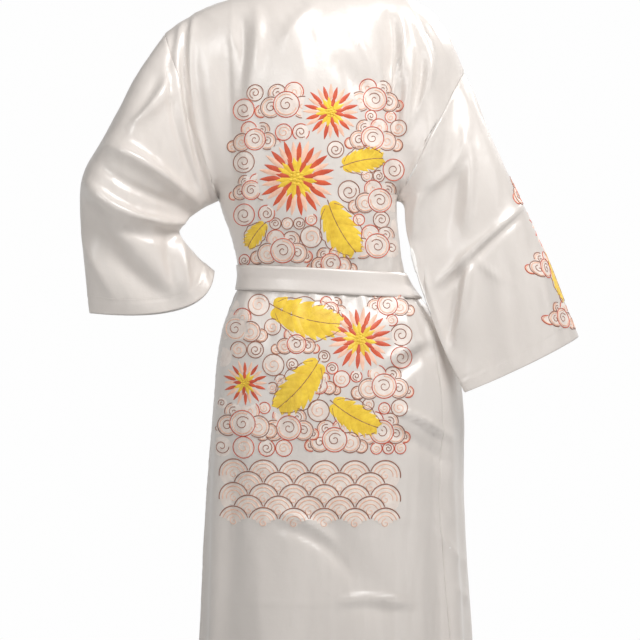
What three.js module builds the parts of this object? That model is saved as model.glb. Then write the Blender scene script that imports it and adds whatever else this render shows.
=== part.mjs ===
// A long satin kimono robe as it is worn, tied at the waist and hollow inside.
// The left sleeve is bent, with its cuff near the waist, and the right sleeve hangs.
// Millimetres. +X is the robe's own left, -Y the front, +Z up. The origin is in the middle of the
// neck, level with the shoulder seams. Each piece that a maker would cut is one closed wall of cloth.
import * as THREE from "three";

const { PI, abs, acos, cos, exp, max, min, sin, sqrt } = Math;
const QUARTER = PI / 2;

// Walls and gaps.
const CLOTH_WALL = 2;
const BAND_WALL = 2.8;
const BELT_WALL = 2.4;
const SEAM_GAP = 0.4;
const LAP = 6.5;
const BELT_CLEAR = 1.7;

// Where the left front rises to lie over the right one, by share across and by level.
const LAP_SHARE = { none: 0.6, full: 0.42 };
const LAP_LEVEL = { none: 1180, full: 1085 };

// Where the belt eases off the lapped fronts, in degrees round the body.
const BELT_LAP = { leftNone: -30, leftFull: -52, rightFull: -150, rightNone: -176, extra: 0.5 };

// Widths of the narrow pieces.
const BAND_WIDTH = 45;
const BELT_WIDTH = 40;
const KNOT = { width: 52, height: 48, rise: 13, edge: 5 };
const TAIL = { width: 40, gathered: 0.5, gatherFrom: 0.6, hold: 7 };
const TIED_REACH = 20;

// Levels are measured up the cloth from the hem, and shares across it from a panel's middle.
const UNDERARM_LEVEL = 956;
const SHOULDER_LEVEL = 1316;
const NECK_SHARE = 0.32;
const NECK_DROP = 42;
const NECK_ROUND = 0.6;
const NECK_MIDDLE = new THREE.Vector3(11, 0, 0);
const COLLAR_STANDS_FROM = 1130;
const COLLAR = { leanSide: 0.62, riseSide: 0.74, leanNape: 0.3, riseNape: 0.94 };

// Keeps the greatest depth of a thin-hanging sleeve ring equal to that of an even one.
const HANG_PEAK = 1.54;

// How many faces each form gets.
const STEPS = { skirt: 20, yoke: 12, side: 14, neck: 8, sleeve: 13, band: 2, belt: 60, tail: 14 };

// The robe's body, a row for each level: the reach of the cloth to its left, right, back and front,
// where its middle is, and how far behind the middle the right side lies.
const BODY = [
  { level: 0, left: 204, right: -260, rightY: 0, back: 156, front: -150, mid: -28 },
  { level: 252, left: 192, right: -245, rightY: 0, back: 147, front: -140, mid: -26 },
  { level: 476, left: 184, right: -231, rightY: 0, back: 142, front: -131, mid: -24 },
  { level: 636, left: 174, right: -228, rightY: 6, back: 138, front: -124, mid: -27 },
  { level: 748, left: 161, right: -200, rightY: 20, back: 119, front: -117, mid: -19 },
  { level: 826, left: 134, right: -138, rightY: 32, back: 92, front: -105, mid: -8 },
  { level: 886, left: 143, right: -125, rightY: 36, back: 106, front: -115, mid: -2 },
  { level: 956, left: 166, right: -120, rightY: 36, back: 119, front: -122, mid: 12 },
  { level: 1046, left: 172, right: -136, rightY: 27, back: 126, front: -120, mid: 12 },
  { level: 1136, left: 188, right: -158, rightY: 18, back: 122, front: -106, mid: 11 },
  { level: 1216, left: 216, right: -194, rightY: 10, back: 98, front: -82, mid: 11 },
  { level: 1266, left: 238, right: -214, rightY: 5, back: 70, front: -58, mid: 11 },
  { level: 1296, left: 249, right: -226, rightY: 2, back: 36, front: -30, mid: 11 },
  { level: 1316, left: 254, right: -230, rightY: 0, back: 0, front: 0, mid: 11 },
];

// Heights at the middle of the back and at each side. flat turns the rounded section below the arms
// (0) into the flat one of the shoulders (1).
const HEIGHTS = [
  { level: 0, z: -1300, zLeft: -1300, zRight: -1300, flat: 0 },
  { level: 886, z: -414, zLeft: -414, zRight: -414, flat: 0 },
  { level: 956, z: -344, zLeft: -344, zRight: -344, flat: 0 },
  { level: 1046, z: -254, zLeft: -270, zRight: -286, flat: 0.3 },
  { level: 1136, z: -162, zLeft: -200, zRight: -226, flat: 0.65 },
  { level: 1216, z: -74, zLeft: -134, zRight: -176, flat: 0.9 },
  { level: 1266, z: -27, zLeft: -96, zRight: -151, flat: 1 },
  { level: 1296, z: -8, zLeft: -79, zRight: -141, flat: 1 },
  { level: 1316, z: -5, zLeft: -75, zRight: -139, flat: 1 },
];

// How steeply each shoulder falls away at its end.
const SHOULDER_FALL = { left: 3, right: 5.5 };

// Where the right side seam runs round the body, in degrees from the robe's left by the back.
const RIGHT_SEAM = [
  { level: 0, turn: 143 },
  { level: 636, turn: 144 },
  { level: 748, turn: 150 },
  { level: 826, turn: 162 },
  { level: 886, turn: 174 },
  { level: 956, turn: 180 },
  { level: 1316, turn: 180 },
];

// The seam of the front band, as a share of each front from its middle towards its side.
const FRONT_SEAM = [
  { level: 0, share: -0.17 },
  { level: 636, share: -0.17 },
  { level: 826, share: -0.17 },
  { level: 956, share: -0.03 },
  { level: 1046, share: 0.09 },
  { level: 1136, share: 0.18 },
  { level: 1226, share: 0.26 },
  { level: 1316, share: NECK_SHARE },
];

// Each sleeve, a row for each ring from the armhole to the cuff: the outer edge, the point that the
// ring sags towards, the inner edge under the arm, half its depth, and how far the cloth hangs
// thin below the arm (1) rather than round it evenly (0).
const LEFT_SLEEVE = [
  { ring: 0, sag: [210, 0, -209.5], depth: 68, hang: 0 },
  { ring: 1, outer: [275, 6, -104], sag: [229, 5, -228], inner: [183, 4, -351], depth: 69, hang: 0.1 },
  { ring: 2, outer: [303, 14, -149], sag: [250, 11, -255], inner: [197, 8, -359], depth: 71, hang: 0.3 },
  { ring: 3, outer: [330, 22, -203], sag: [268, 17, -285], inner: [207, 12, -366], depth: 73, hang: 0.5 },
  { ring: 4, outer: [358, 30, -256], sag: [287, 23, -315], inner: [216, 16, -374], depth: 74, hang: 0.5 },
  { ring: 5, outer: [380, 36, -293], sag: [304, 28, -342], inner: [226, 20, -385], depth: 73, hang: 0.5 },
  { ring: 6, outer: [388, 38, -331], sag: [309, 30, -370], inner: [229, 22, -397], depth: 69, hang: 0.5 },
  { ring: 7, outer: [387, 37, -384], sag: [292, 29.5, -424], inner: [217, 22, -414], depth: 62, hang: 0.4 },
  { ring: 8, outer: [382, 34, -443], sag: [250, 27, -490], inner: [198, 20, -435], depth: 54, hang: 0.3 },
  { ring: 9, outer: [378, 30, -488], sag: [208, 24, -521], inner: [183, 18, -449], depth: 48, hang: 0.2 },
  { ring: 10, outer: [374, 26, -525], sag: [176, 21, -544], inner: [173, 16, -458], depth: 44, hang: 0.1 },
];
const RIGHT_SLEEVE = [
  { ring: 0, sag: [-175, 18, -241.5], depth: 60, hang: 0 },
  { ring: 1, outer: [-245, 4, -172], sag: [-187, 24, -263], inner: [-131, 44, -353], depth: 57, hang: 0.2 },
  { ring: 2, outer: [-264, 8, -224], sag: [-199, 32.5, -305], inner: [-136, 57, -387], depth: 54, hang: 0.7 },
  { ring: 3, outer: [-288, 13, -280], sag: [-216, 40, -356], inner: [-143, 67, -430], depth: 53, hang: 1 },
  { ring: 4, outer: [-312, 18, -332], sag: [-234, 45.5, -407], inner: [-156, 73, -480], depth: 52, hang: 1 },
  { ring: 5, outer: [-336, 23, -384], sag: [-256, 50.5, -460], inner: [-175, 78, -532], depth: 52, hang: 1 },
  { ring: 6, outer: [-363, 28, -443], sag: [-278, 56, -516], inner: [-194, 84, -582], depth: 51, hang: 0.9 },
  { ring: 7, outer: [-388, 32, -507], sag: [-300, 60, -571], inner: [-213, 89, -624], depth: 50, hang: 0.7 },
  { ring: 8, outer: [-410, 35, -563], sag: [-317, 63, -615], inner: [-227, 92, -651], depth: 48, hang: 0.5 },
];

// The largest folds: a line from one end through the middle to the other, on the back (side 1) or
// the front (side -1), with its half width and its height, which is below 0 in a trough.
const FOLDS = [
  { side: 1, x1: 222, z1: -92, xm: 204, zm: -210, x2: 182, z2: -322, width: 20, height: -9 },
  { side: 1, x1: 232, z1: -175, xm: 262, zm: -205, x2: 300, z2: -232, width: 20, height: 7 },
  { side: 1, x1: 344, z1: -262, xm: 286, zm: -300, x2: 226, z2: -346, width: 18, height: 9 },
  { side: 1, x1: 366, z1: -315, xm: 325, zm: -375, x2: 240, z2: -385, width: 17, height: 8 },
  { side: 1, x1: 382, z1: -360, xm: 318, zm: -462, x2: 226, z2: -502, width: 24, height: -9 },
  { side: 1, x1: -104, z1: -60, xm: -122, zm: -170, x2: -118, z2: -310, width: 15, height: -10 },
  { side: 1, x1: -150, z1: -80, xm: -134, zm: -160, x2: -128, z2: -250, width: 14, height: 8 },
  { side: 1, x1: -168, z1: -100, xm: -184, zm: -230, x2: -150, z2: -390, width: 22, height: 9 },
  { side: 1, x1: -204, z1: -110, xm: -210, zm: -180, x2: -216, z2: -250, width: 16, height: -7 },
  { side: 1, x1: -318, z1: -352, xm: -245, zm: -428, x2: -176, z2: -482, width: 15, height: 7 },
  { side: 1, x1: -236, z1: -440, xm: -230, zm: -500, x2: -228, z2: -570, width: 16, height: 6 },
  { side: 1, x1: 88, z1: -620, xm: 60, zm: -700, x2: 52, z2: -800, width: 26, height: -6 },
  { side: 1, x1: -182, z1: -720, xm: -192, zm: -960, x2: -198, z2: -1290, width: 20, height: -9 },
  { side: 1, x1: 40, z1: -820, xm: -50, zm: -900, x2: -100, z2: -1010, width: 28, height: -6 },
  { side: -1, x1: 150, z1: -70, xm: 140, zm: -200, x2: 96, z2: -420, width: 20, height: -7 },
  { side: -1, x1: -140, z1: -110, xm: -124, zm: -230, x2: -90, z2: -420, width: 20, height: -7 },
  { side: -1, x1: 60, z1: -540, xm: 92, zm: -760, x2: 110, z2: -1290, width: 30, height: -8 },
  { side: -1, x1: -96, z1: -540, xm: -140, zm: -760, x2: -170, z2: -1290, width: 28, height: 8 },
  { side: -1, x1: 352, z1: -290, xm: 300, zm: -330, x2: 236, z2: -356, width: 18, height: 8 },
  { side: -1, x1: -200, z1: -150, xm: -214, zm: -300, x2: -240, z2: -470, width: 20, height: 8 },
];
const FOLD_SAMPLES = 12;
const FOLD_FACING = { none: 0.05, full: 0.6 };
const FOLD_TAPER = { start: 0.06, span: 0.88 };
const SLEEVES_FROM = { left: 175, right: -165 };

// Soft upright flutes that grow from the belt to the hem, as waves round the body.
const FLUTES = [
  { waves: 5, start: 0.4, height: 4.2 },
  { waves: 9, start: 2.1, height: 3 },
  { waves: 14, start: 1.2, height: 1.6 },
];
const FLUTE_TOP = -540;
const FLUTE_GROWTH = 620;

const BELT_HEIGHT = -474;
const BELT_TILT = 0.05;
const FOLD_FREE_BAND = 46;

// The two hanging ends of the belt: where they leave the knot, where they end, how far down, and
// how far they stand off the front there.
const TAILS = {
  left: { turnTop: -88, turnEnd: -78, end: -905, fall: 7 },
  right: { turnTop: -101, turnEnd: -112, end: -868, fall: 7 },
};
const KNOT_TURN = -94.5;

const SATIN = { color: 0xe9e5e1, roughness: 0.34, metalness: 0 };

const lerp = (a, b, share) => a + (b - a) * share;
const clamp01 = (v) => min(1, max(0, v));
const radians = (degrees) => (degrees * PI) / 180;

// A smooth step from 0 at `from` to 1 at `to`, which may be the lower of the two.
function ease(v, from, to) {
  const s = clamp01((v - from) / (to - from));
  return s * s * (3 - 2 * s);
}

// A smooth curve through the values at the given places.
function curveThrough(at, value) {
  const last = at.length - 1;
  const slope = at.map((_, i) => {
    const a = max(i - 1, 0);
    const b = min(i + 1, last);
    return (value[b] - value[a]) / (at[b] - at[a]);
  });
  return (where) => {
    let i = 0;
    while (i < last - 1 && where > at[i + 1]) i += 1;
    const span = at[i + 1] - at[i];
    const s = clamp01((where - at[i]) / span);
    const s2 = s * s;
    const s3 = s2 * s;
    return (
      value[i] * (2 * s3 - 3 * s2 + 1) +
      slope[i] * span * (s3 - 2 * s2 + s) +
      value[i + 1] * (3 * s2 - 2 * s3) +
      slope[i + 1] * span * (s3 - s2)
    );
  };
}

// A smooth curve for each column of a table, read by one of them. Triples give points.
function curvesOf(table, by) {
  const at = table.map((row) => row[by]);
  const curveOf = (name) => {
    const values = table.map((row) => row[name]);
    if (!Array.isArray(values[0])) return curveThrough(at, values);
    const [x, y, z] = [0, 1, 2].map((k) => curveThrough(at, values.map((triple) => triple[k])));
    return (where) => new THREE.Vector3(x(where), y(where), z(where));
  };
  const names = Object.keys(table[0]).filter((name) => name !== by);
  return Object.fromEntries(names.map((name) => [name, curveOf(name)]));
}

const body = { ...curvesOf(BODY, "level"), ...curvesOf(HEIGHTS, "level") };
const rightSeam = curvesOf(RIGHT_SEAM, "level").turn;
const frontSeam = curvesOf(FRONT_SEAM, "level").share;
const levelOf = (z) => z + 1300;

// How far the flutes lift the skirt at an angle round the body.
function flute(turn, z) {
  const grown = clamp01((FLUTE_TOP - z) / FLUTE_GROWTH);
  return FLUTES.reduce((sum, wave) => sum + wave.height * cos(wave.waves * turn + wave.start), 0) * grown;
}

// A point on the robe's body at an angle from its left by the back, without the sleeves.
function bodyPoint(turn, level) {
  const angle = Math.atan2(sin(turn), cos(turn));
  const atBack = angle >= 0;
  const across = 1 - abs(angle) / QUARTER;
  const flat = body.flat(level);
  const toLeft = across >= 0;
  const reach = abs(lerp(sin(across * QUARTER), across, flat));
  const out = lerp(cos(across * QUARTER), 1 - across * across, flat);
  const fall = toLeft ? SHOULDER_FALL.left : SHOULDER_FALL.right;
  const lift = lerp(cos(across * QUARTER), 1 - abs(across) ** fall, flat);
  const mid = body.mid(level);
  const side = toLeft ? body.left(level) : body.right(level);
  const sideZ = toLeft ? body.zLeft(level) : body.zRight(level);
  const depth = atBack ? body.back(level) : body.front(level);
  const z = lerp(sideZ, body.z(level), lift);
  const swell = level < UNDERARM_LEVEL ? 1 + flute(angle, z) / body.back(level) : 1;
  const sideY = toLeft ? 0 : body.rightY(level);
  return new THREE.Vector3(mid + (side - mid) * reach * swell, lerp(sideY, depth, out) * swell, z);
}

// A sleeve's curves, with its first ring's ends at the shoulder and under the arm.
function sleeveCurves(table, seamAtShoulder, seamUnderArm) {
  const outer = bodyPoint(radians(seamAtShoulder), SHOULDER_LEVEL).toArray();
  const inner = bodyPoint(radians(seamUnderArm), UNDERARM_LEVEL).toArray();
  return curvesOf([{ ...table[0], outer, inner }, ...table.slice(1)], "ring");
}
const leftSleeve = sleeveCurves(LEFT_SLEEVE, 0, 0);
const rightSleeve = sleeveCurves(RIGHT_SLEEVE, rightSeam(SHOULDER_LEVEL), rightSeam(UNDERARM_LEVEL));

// A point on a sleeve: ring along it, and an angle from its outer edge by the back to the inner edge.
function sleevePoint(sleeve, ring, turn) {
  const outer = sleeve.outer(ring);
  const inner = sleeve.inner(ring);
  const share = (1 - cos(turn)) / 2;
  const chord = inner.clone().sub(outer).normalize();
  const deep = new THREE.Vector3(0, 1, 0).addScaledVector(chord, -chord.y).normalize();
  const bulge = sin(turn) * lerp(1, HANG_PEAK * (1 - share), sleeve.hang(ring));
  return outer
    .multiplyScalar((1 - share) ** 2)
    .addScaledVector(sleeve.sag(ring), 2 * share * (1 - share))
    .addScaledVector(inner, share * share)
    .addScaledVector(deep, sleeve.depth(ring) * bulge);
}

// The armhole's edge at a level of the body, on the back half or the front half of its loop.
function armhole(sleeve, level, atBack) {
  const up = clamp01((level - UNDERARM_LEVEL) / (SHOULDER_LEVEL - UNDERARM_LEVEL));
  return sleevePoint(sleeve, 0, (atBack ? 1 : -1) * acos(2 * up - 1));
}

// A point on the back or the fronts: share runs from 1 at the left seam to -1 at the right seam.
function panelPoint(share, level, atBack) {
  const seam = radians(rightSeam(level));
  const middle = atBack ? seam / 2 : seam / 2 - PI;
  const end = atBack ? seam : seam - 2 * PI;
  const turn = share >= 0 ? lerp(middle, 0, share) : lerp(middle, end, -share);
  const point = bodyPoint(turn, level);
  if (level <= UNDERARM_LEVEL) return point;
  const sleeve = share >= 0 ? leftSleeve : rightSleeve;
  const drawn = armhole(sleeve, level, atBack).sub(bodyPoint(share >= 0 ? 0 : end, level));
  return point.addScaledVector(drawn, share ** 4);
}

// How far the left front is lifted to lie over the right one.
function lapOf(share, level) {
  return LAP * ease(share, LAP_SHARE.none, LAP_SHARE.full) * ease(level, LAP_LEVEL.none, LAP_LEVEL.full);
}

// A point on the left or the right front, the left one on top.
function frontPoint(share, level, isLeft) {
  const point = panelPoint(share, level, false);
  if (!isLeft) return point;
  const lap = lapOf(share, level);
  return lap > 0 ? point.addScaledVector(outward(share, level), lap) : point;
}

// The direction out of the fronts at a point.
function outward(share, level) {
  const step = 0.02;
  const side = panelPoint(share + step, level, false).sub(panelPoint(share - step, level, false));
  const up = panelPoint(share, level + 4, false).sub(panelPoint(share, level - 4, false));
  return side.cross(up).normalize();
}

// The level at which the back ends, lower where the neck opening is.
function backTop(share) {
  const inNeck = abs(share) / NECK_SHARE;
  return inNeck >= 1 ? SHOULDER_LEVEL : SHOULDER_LEVEL - NECK_DROP * (1 - inNeck * inNeck) ** NECK_ROUND;
}

const steps = (count) => Array.from({ length: count + 1 }, (_, i) => i / count);

// Levels of the rows: even in the skirt, at the belt and below the arms, and spaced in the yoke as
// the armhole's points are, which lie closer at its two ends.
function levels() {
  const skirtTop = levelOf(BELT_HEIGHT - BELT_WIDTH / 2);
  const beltTop = levelOf(BELT_HEIGHT + BELT_WIDTH / 2);
  const chestSteps = 4;
  const beltSteps = 2;
  const skirtSteps = STEPS.skirt - chestSteps - beltSteps;
  return [
    ...steps(skirtSteps).map((s) => lerp(0, skirtTop, s)),
    ...steps(beltSteps).slice(1).map((s) => lerp(skirtTop, beltTop, s)),
    ...steps(chestSteps).slice(1).map((s) => lerp(beltTop, UNDERARM_LEVEL, s)),
    ...steps(STEPS.yoke).slice(1).map((s) => lerp(UNDERARM_LEVEL, SHOULDER_LEVEL, (1 - cos(PI * s)) / 2)),
  ];
}
const LEVELS = levels();

// A sheet is rows of points. Its outside is towards column step cross row step, or away from it.
function backSheet() {
  const sides = steps(STEPS.side).map((s) => lerp(1, NECK_SHARE, s));
  const neck = steps(STEPS.neck).slice(1, -1).map((s) => lerp(NECK_SHARE, -NECK_SHARE, s));
  const shares = [...sides, ...neck, ...sides.map((s) => -s).reverse()];
  const rows = LEVELS.map((level) =>
    shares.map((share) => {
      const above = max(0, level - UNDERARM_LEVEL);
      const squeeze = (backTop(share) - UNDERARM_LEVEL) / (SHOULDER_LEVEL - UNDERARM_LEVEL);
      return panelPoint(share, min(level, UNDERARM_LEVEL) + above * squeeze, true);
    }),
  );
  return { rows, flip: false, trims: ["first", "last", "top"] };
}

function frontSheet(isLeft) {
  const rows = LEVELS.map((level) => {
    const seam = isLeft ? frontSeam(level) : -frontSeam(level);
    const edge = isLeft ? 1 : -1;
    return steps(STEPS.side).map((s) => frontPoint(lerp(seam, edge, s), level, isLeft));
  });
  return { rows, flip: !isLeft, trims: ["first", "last", "top"] };
}

// A tube from the armhole to the cuff. Its ring points meet the yoke's rows at the armhole.
function sleeveSheet(sleeve, rings, isLeft) {
  const turns = steps(2 * STEPS.yoke).slice(0, -1).map((s) => 2 * PI * s);
  const rows = steps(STEPS.sleeve).map((s) =>
    turns.map((turn) => sleevePoint(sleeve, s * (rings - 1), turn)),
  );
  return { rows, flip: isLeft, closed: true, trims: ["bottom"] };
}

// The band's points across its width at a level of one front: flat on the chest, standing at the neck.
function bandOnFront(level, isLeft) {
  const seam = isLeft ? frontSeam(level) : -frontSeam(level);
  const inward = isLeft ? -1 : 1;
  const start = frontPoint(seam, level, isLeft);
  const probe = 0.05;
  const perShare = frontPoint(seam + inward * probe, level, isLeft).distanceTo(start) / probe;
  const standing = ease(level, COLLAR_STANDS_FROM, SHOULDER_LEVEL);
  return steps(STEPS.band).map((s) => {
    const lying = frontPoint(seam + (inward * s * BAND_WIDTH) / perShare, level, isLeft);
    return lying.lerp(bandUpright(start, s, 0), standing);
  });
}

// The band standing at the neck, more upright towards the nape (1) than at the side of the neck (0).
function bandUpright(seamPoint, share, nape) {
  const inward = NECK_MIDDLE.clone().sub(seamPoint).setZ(0).normalize();
  const lean = lerp(COLLAR.leanSide, COLLAR.leanNape, nape);
  const rise = lerp(COLLAR.riseSide, COLLAR.riseNape, nape);
  return seamPoint
    .clone()
    .addScaledVector(inward, lean * BAND_WIDTH * share)
    .add(new THREE.Vector3(0, 0, rise * BAND_WIDTH * share));
}

// One long band: up the right front, round the back of the neck and down the left front.
function bandSheet() {
  const up = LEVELS.map((level) => bandOnFront(level, false));
  const down = LEVELS.map((level) => bandOnFront(level, true)).reverse();
  const round = steps(STEPS.neck).slice(1, -1).map((s) => {
    const share = lerp(-NECK_SHARE, NECK_SHARE, s);
    const seamPoint = panelPoint(share, backTop(share), true);
    const nape = ease(abs(share), NECK_SHARE, 0);
    return steps(STEPS.band).map((t) => bandUpright(seamPoint, t, nape));
  });
  return { rows: [...up, ...round, ...down], flip: false, trims: ["first"] };
}

// The body's surface out to a height above the right front, with the lap of the left one.
function aboveBody(turn, z, height) {
  const level = levelOf(z);
  const point = bodyPoint(turn, level);
  const step = 0.03;
  const round = bodyPoint(turn + step, level).sub(bodyPoint(turn - step, level)).setZ(0);
  const out = new THREE.Vector3(round.y, -round.x, 0).normalize();
  return point.addScaledVector(out, height);
}

// How far the belt stands off for the lapped fronts, easing down past the left front's edge.
function beltLap(turn) {
  const degrees = (Math.atan2(sin(turn), cos(turn)) * 180) / PI;
  if (degrees > 0) return 0;
  const left = ease(degrees, BELT_LAP.leftNone, BELT_LAP.leftFull);
  const right = ease(degrees, BELT_LAP.rightNone, BELT_LAP.rightFull);
  return (LAP + BELT_LAP.extra) * left * right;
}

function beltSheet() {
  const turns = steps(STEPS.belt).slice(0, -1).map((s) => 2 * PI * s);
  const rows = steps(2).map((s) =>
    turns.map((turn) => {
      const drop = (s - 0.5) * BELT_WIDTH;
      const tilt = BELT_TILT * body.right(levelOf(BELT_HEIGHT)) * -cos(turn);
      const height = BELT_CLEAR + BELT_WALL + beltLap(turn);
      return aboveBody(turn, BELT_HEIGHT + drop + tilt, height);
    }),
  );
  return { rows, flip: false, closed: true, trims: [] };
}

// The knot: a pillow on the belt, thick in its middle and thinner at its rim.
function knotSheet() {
  const rows = steps(6).map((v) =>
    steps(6).map((u) => {
      const across = 2 * u - 1;
      const up = 2 * v - 1;
      const swell = sqrt(max(0, (1 - across ** 4) * (1 - up ** 4)));
      const radius = abs(body.front(levelOf(BELT_HEIGHT))) + TIED_REACH;
      const turn = radians(KNOT_TURN) + (across * KNOT.width) / 2 / radius;
      const z = BELT_HEIGHT + (up * KNOT.height) / 2;
      const standOff = BELT_CLEAR + BELT_WALL + beltLap(turn) + 2 * SEAM_GAP;
      return {
        point: aboveBody(turn, z, standOff + KNOT.edge + KNOT.rise * swell),
        wall: KNOT.edge + KNOT.rise * swell,
      };
    }),
  );
  return {
    rows: rows.map((row) => row.map((cell) => cell.point)),
    walls: rows.map((row) => row.map((cell) => cell.wall)),
    flip: false,
    trims: [],
  };
}

// A hanging end of the belt, clear of the skirt that it lies on.
function tailSheet(tail) {
  const top = BELT_HEIGHT - KNOT.height / 2 - SEAM_GAP;
  const rows = steps(STEPS.tail).map((s) => {
    const z = lerp(tail.end, top, s);
    const turn = radians(lerp(tail.turnEnd, tail.turnTop, s));
    const gather = ease(s, TAIL.gatherFrom, 1);
    const width = TAIL.width * lerp(1, TAIL.gathered, gather);
    const height = LAP + BELT_WALL + lerp(tail.fall, TAIL.hold, gather);
    return steps(3).map((t) => {
      const spread = ((t - 0.5) * width) / (abs(body.front(levelOf(z))) + TIED_REACH);
      return aboveBody(turn + spread, z, height);
    });
  });
  return { rows, flip: false, trims: [] };
}

const keyOf = (point) => point.toArray().map((v) => Math.round(v * 50)).join();

// Normals at every point of the sheets, shared where sheets meet at a seam.
function sharedNormals(sheets) {
  const sums = new Map();
  const add = (point, normal) => {
    const key = keyOf(point);
    if (!sums.has(key)) sums.set(key, new THREE.Vector3());
    sums.get(key).add(normal);
  };
  for (const { rows, flip, closed } of sheets) {
    const width = rows[0].length;
    for (let i = 0; i < rows.length - 1; i += 1) {
      for (let j = 0; j < (closed ? width : width - 1); j += 1) {
        const next = (j + 1) % width;
        const corners = [rows[i][j], rows[i][next], rows[i + 1][next], rows[i + 1][j]];
        const first = corners[2].clone().sub(corners[0]);
        const second = corners[3].clone().sub(corners[1]);
        const normal = first.cross(second).setLength(flip ? -1 : 1);
        corners.forEach((corner) => add(corner, normal));
      }
    }
  }
  const normalAt = (point) => sums.get(keyOf(point)).clone().normalize();
  return sheets.map(({ rows }) => rows.map((row) => row.map(normalAt)));
}

// How much the folds lift the cloth at a point whose outside faces along the normal.
function foldHeight(point, normal) {
  const byBelt = 1 - exp(-(((point.z - BELT_HEIGHT) / FOLD_FREE_BAND) ** 2));
  const onArm = point.x > SLEEVES_FROM.left || point.x < SLEEVES_FROM.right ? 1 : byBelt;
  let sum = 0;
  for (const fold of FOLDS) {
    const facing = ease(normal.y * fold.side, FOLD_FACING.none, FOLD_FACING.full);
    if (facing === 0) continue;
    let nearest = Infinity;
    let along = 0;
    for (let i = 0; i <= FOLD_SAMPLES; i += 1) {
      const s = i / FOLD_SAMPLES;
      const x = fold.x1 * (1 - s) ** 2 + 2 * fold.xm * s * (1 - s) + fold.x2 * s * s;
      const z = fold.z1 * (1 - s) ** 2 + 2 * fold.zm * s * (1 - s) + fold.z2 * s * s;
      const distance = Math.hypot(point.x - x, point.z - z);
      if (distance < nearest) {
        nearest = distance;
        along = s;
      }
    }
    const taper = sqrt(max(0, sin(PI * (FOLD_TAPER.start + FOLD_TAPER.span * along))));
    sum += facing * onArm * fold.height * taper * exp(-((nearest / fold.width) ** 2));
  }
  return sum;
}

function withFolds(sheets) {
  const normals = sharedNormals(sheets);
  return sheets.map((sheet, n) => ({
    ...sheet,
    rows: sheet.rows.map((row, i) =>
      row.map((point, j) => {
        const normal = normals[n][i][j];
        return point.clone().addScaledVector(normal, foldHeight(point, normal));
      }),
    ),
  }));
}

// Draws a sheet's edges back from its seams, so that neighbours keep their gap.
function trimmed({ rows, trims }) {
  const out = rows.map((row) => row.map((point) => point.clone()));
  const pull = (point, towards) => point.add(towards.clone().sub(point).setLength(SEAM_GAP / 2));
  const last = rows[0].length - 1;
  if (trims.includes("first")) out.forEach((row, i) => pull(row[0], rows[i][1]));
  if (trims.includes("last")) out.forEach((row, i) => pull(row[last], rows[i][last - 1]));
  if (trims.includes("top")) out.at(-1).forEach((point, j) => pull(point, rows.at(-2)[j]));
  if (trims.includes("bottom")) out[0].forEach((point, j) => pull(point, rows[1][j]));
  return out;
}

// A closed wall of cloth: the sheet outside, the same sheet moved in by the wall, and its edges.
function wallGeometry(sheet, normals, wall) {
  const outer = trimmed(sheet);
  const height = outer.length;
  const width = outer[0].length;
  const positions = [];
  for (const depth of [0, 1]) {
    outer.forEach((row, i) =>
      row.forEach((point, j) => {
        const thick = sheet.walls ? sheet.walls[i][j] : wall;
        positions.push(...point.clone().addScaledVector(normals[i][j], -depth * thick).toArray());
      }),
    );
  }
  const inside = height * width;
  const at = (i, j, layer) => layer * inside + i * width + (j % width);
  const index = [];
  const face = (a, b, c, d) => index.push(...(sheet.flip ? [a, c, b, a, d, c] : [a, b, c, a, c, d]));
  // An edge face between two places of the rim, split from the lower outer corner on both sides of a seam.
  const rim = (from, to) => {
    const [i, j] = from;
    const [m, n] = to;
    const corners = [at(i, j, 1), at(m, n, 1), at(m, n, 0), at(i, j, 0)];
    const rising = outer[m][n % width].z > outer[i][j % width].z;
    face(...(rising ? [...corners.slice(1), corners[0]] : corners));
  };
  const columns = sheet.closed ? width : width - 1;
  for (let i = 0; i < height - 1; i += 1) {
    for (let j = 0; j < columns; j += 1) {
      face(at(i, j, 0), at(i, j + 1, 0), at(i + 1, j + 1, 0), at(i + 1, j, 0));
      face(at(i, j, 1), at(i + 1, j, 1), at(i + 1, j + 1, 1), at(i, j + 1, 1));
    }
  }
  for (let j = 0; j < columns; j += 1) {
    rim([0, j], [0, j + 1]);
    rim([height - 1, j + 1], [height - 1, j]);
  }
  if (!sheet.closed) {
    for (let i = 0; i < height - 1; i += 1) {
      rim([i + 1, 0], [i, 0]);
      rim([i, width - 1], [i + 1, width - 1]);
    }
  }
  const geometry = new THREE.BufferGeometry();
  geometry.setAttribute("position", new THREE.Float32BufferAttribute(positions, 3));
  geometry.setIndex(index);
  geometry.computeVertexNormals();
  return geometry;
}

function clothMesh(name, sheet, normals, wall) {
  const mesh = new THREE.Mesh(wallGeometry(sheet, normals, wall), new THREE.MeshStandardMaterial(SATIN));
  mesh.name = name;
  return mesh;
}

function buildRobe() {
  const robe = new THREE.Group();
  const sewn = {
    back: backSheet(),
    front_left: frontSheet(true),
    front_right: frontSheet(false),
    sleeve_left: sleeveSheet(leftSleeve, LEFT_SLEEVE.length, true),
    sleeve_right: sleeveSheet(rightSleeve, RIGHT_SLEEVE.length, false),
    neck_band: bandSheet(),
  };
  const names = Object.keys(sewn);
  const folded = withFolds(Object.values(sewn));
  const normals = sharedNormals(folded);
  names.forEach((name, n) => {
    robe.add(clothMesh(name, folded[n], normals[n], name === "neck_band" ? BAND_WALL : CLOTH_WALL));
  });
  const tied = {
    belt: beltSheet(),
    belt_knot: knotSheet(),
    belt_tail_left: tailSheet(TAILS.left),
    belt_tail_right: tailSheet(TAILS.right),
  };
  for (const [name, sheet] of Object.entries(tied)) {
    robe.add(clothMesh(name, sheet, sharedNormals([sheet])[0], BELT_WALL));
  }
  return robe;
}

export default buildRobe();
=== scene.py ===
import bpy
import numpy as np
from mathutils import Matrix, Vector
from mathutils.bvhtree import BVHTree


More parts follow.
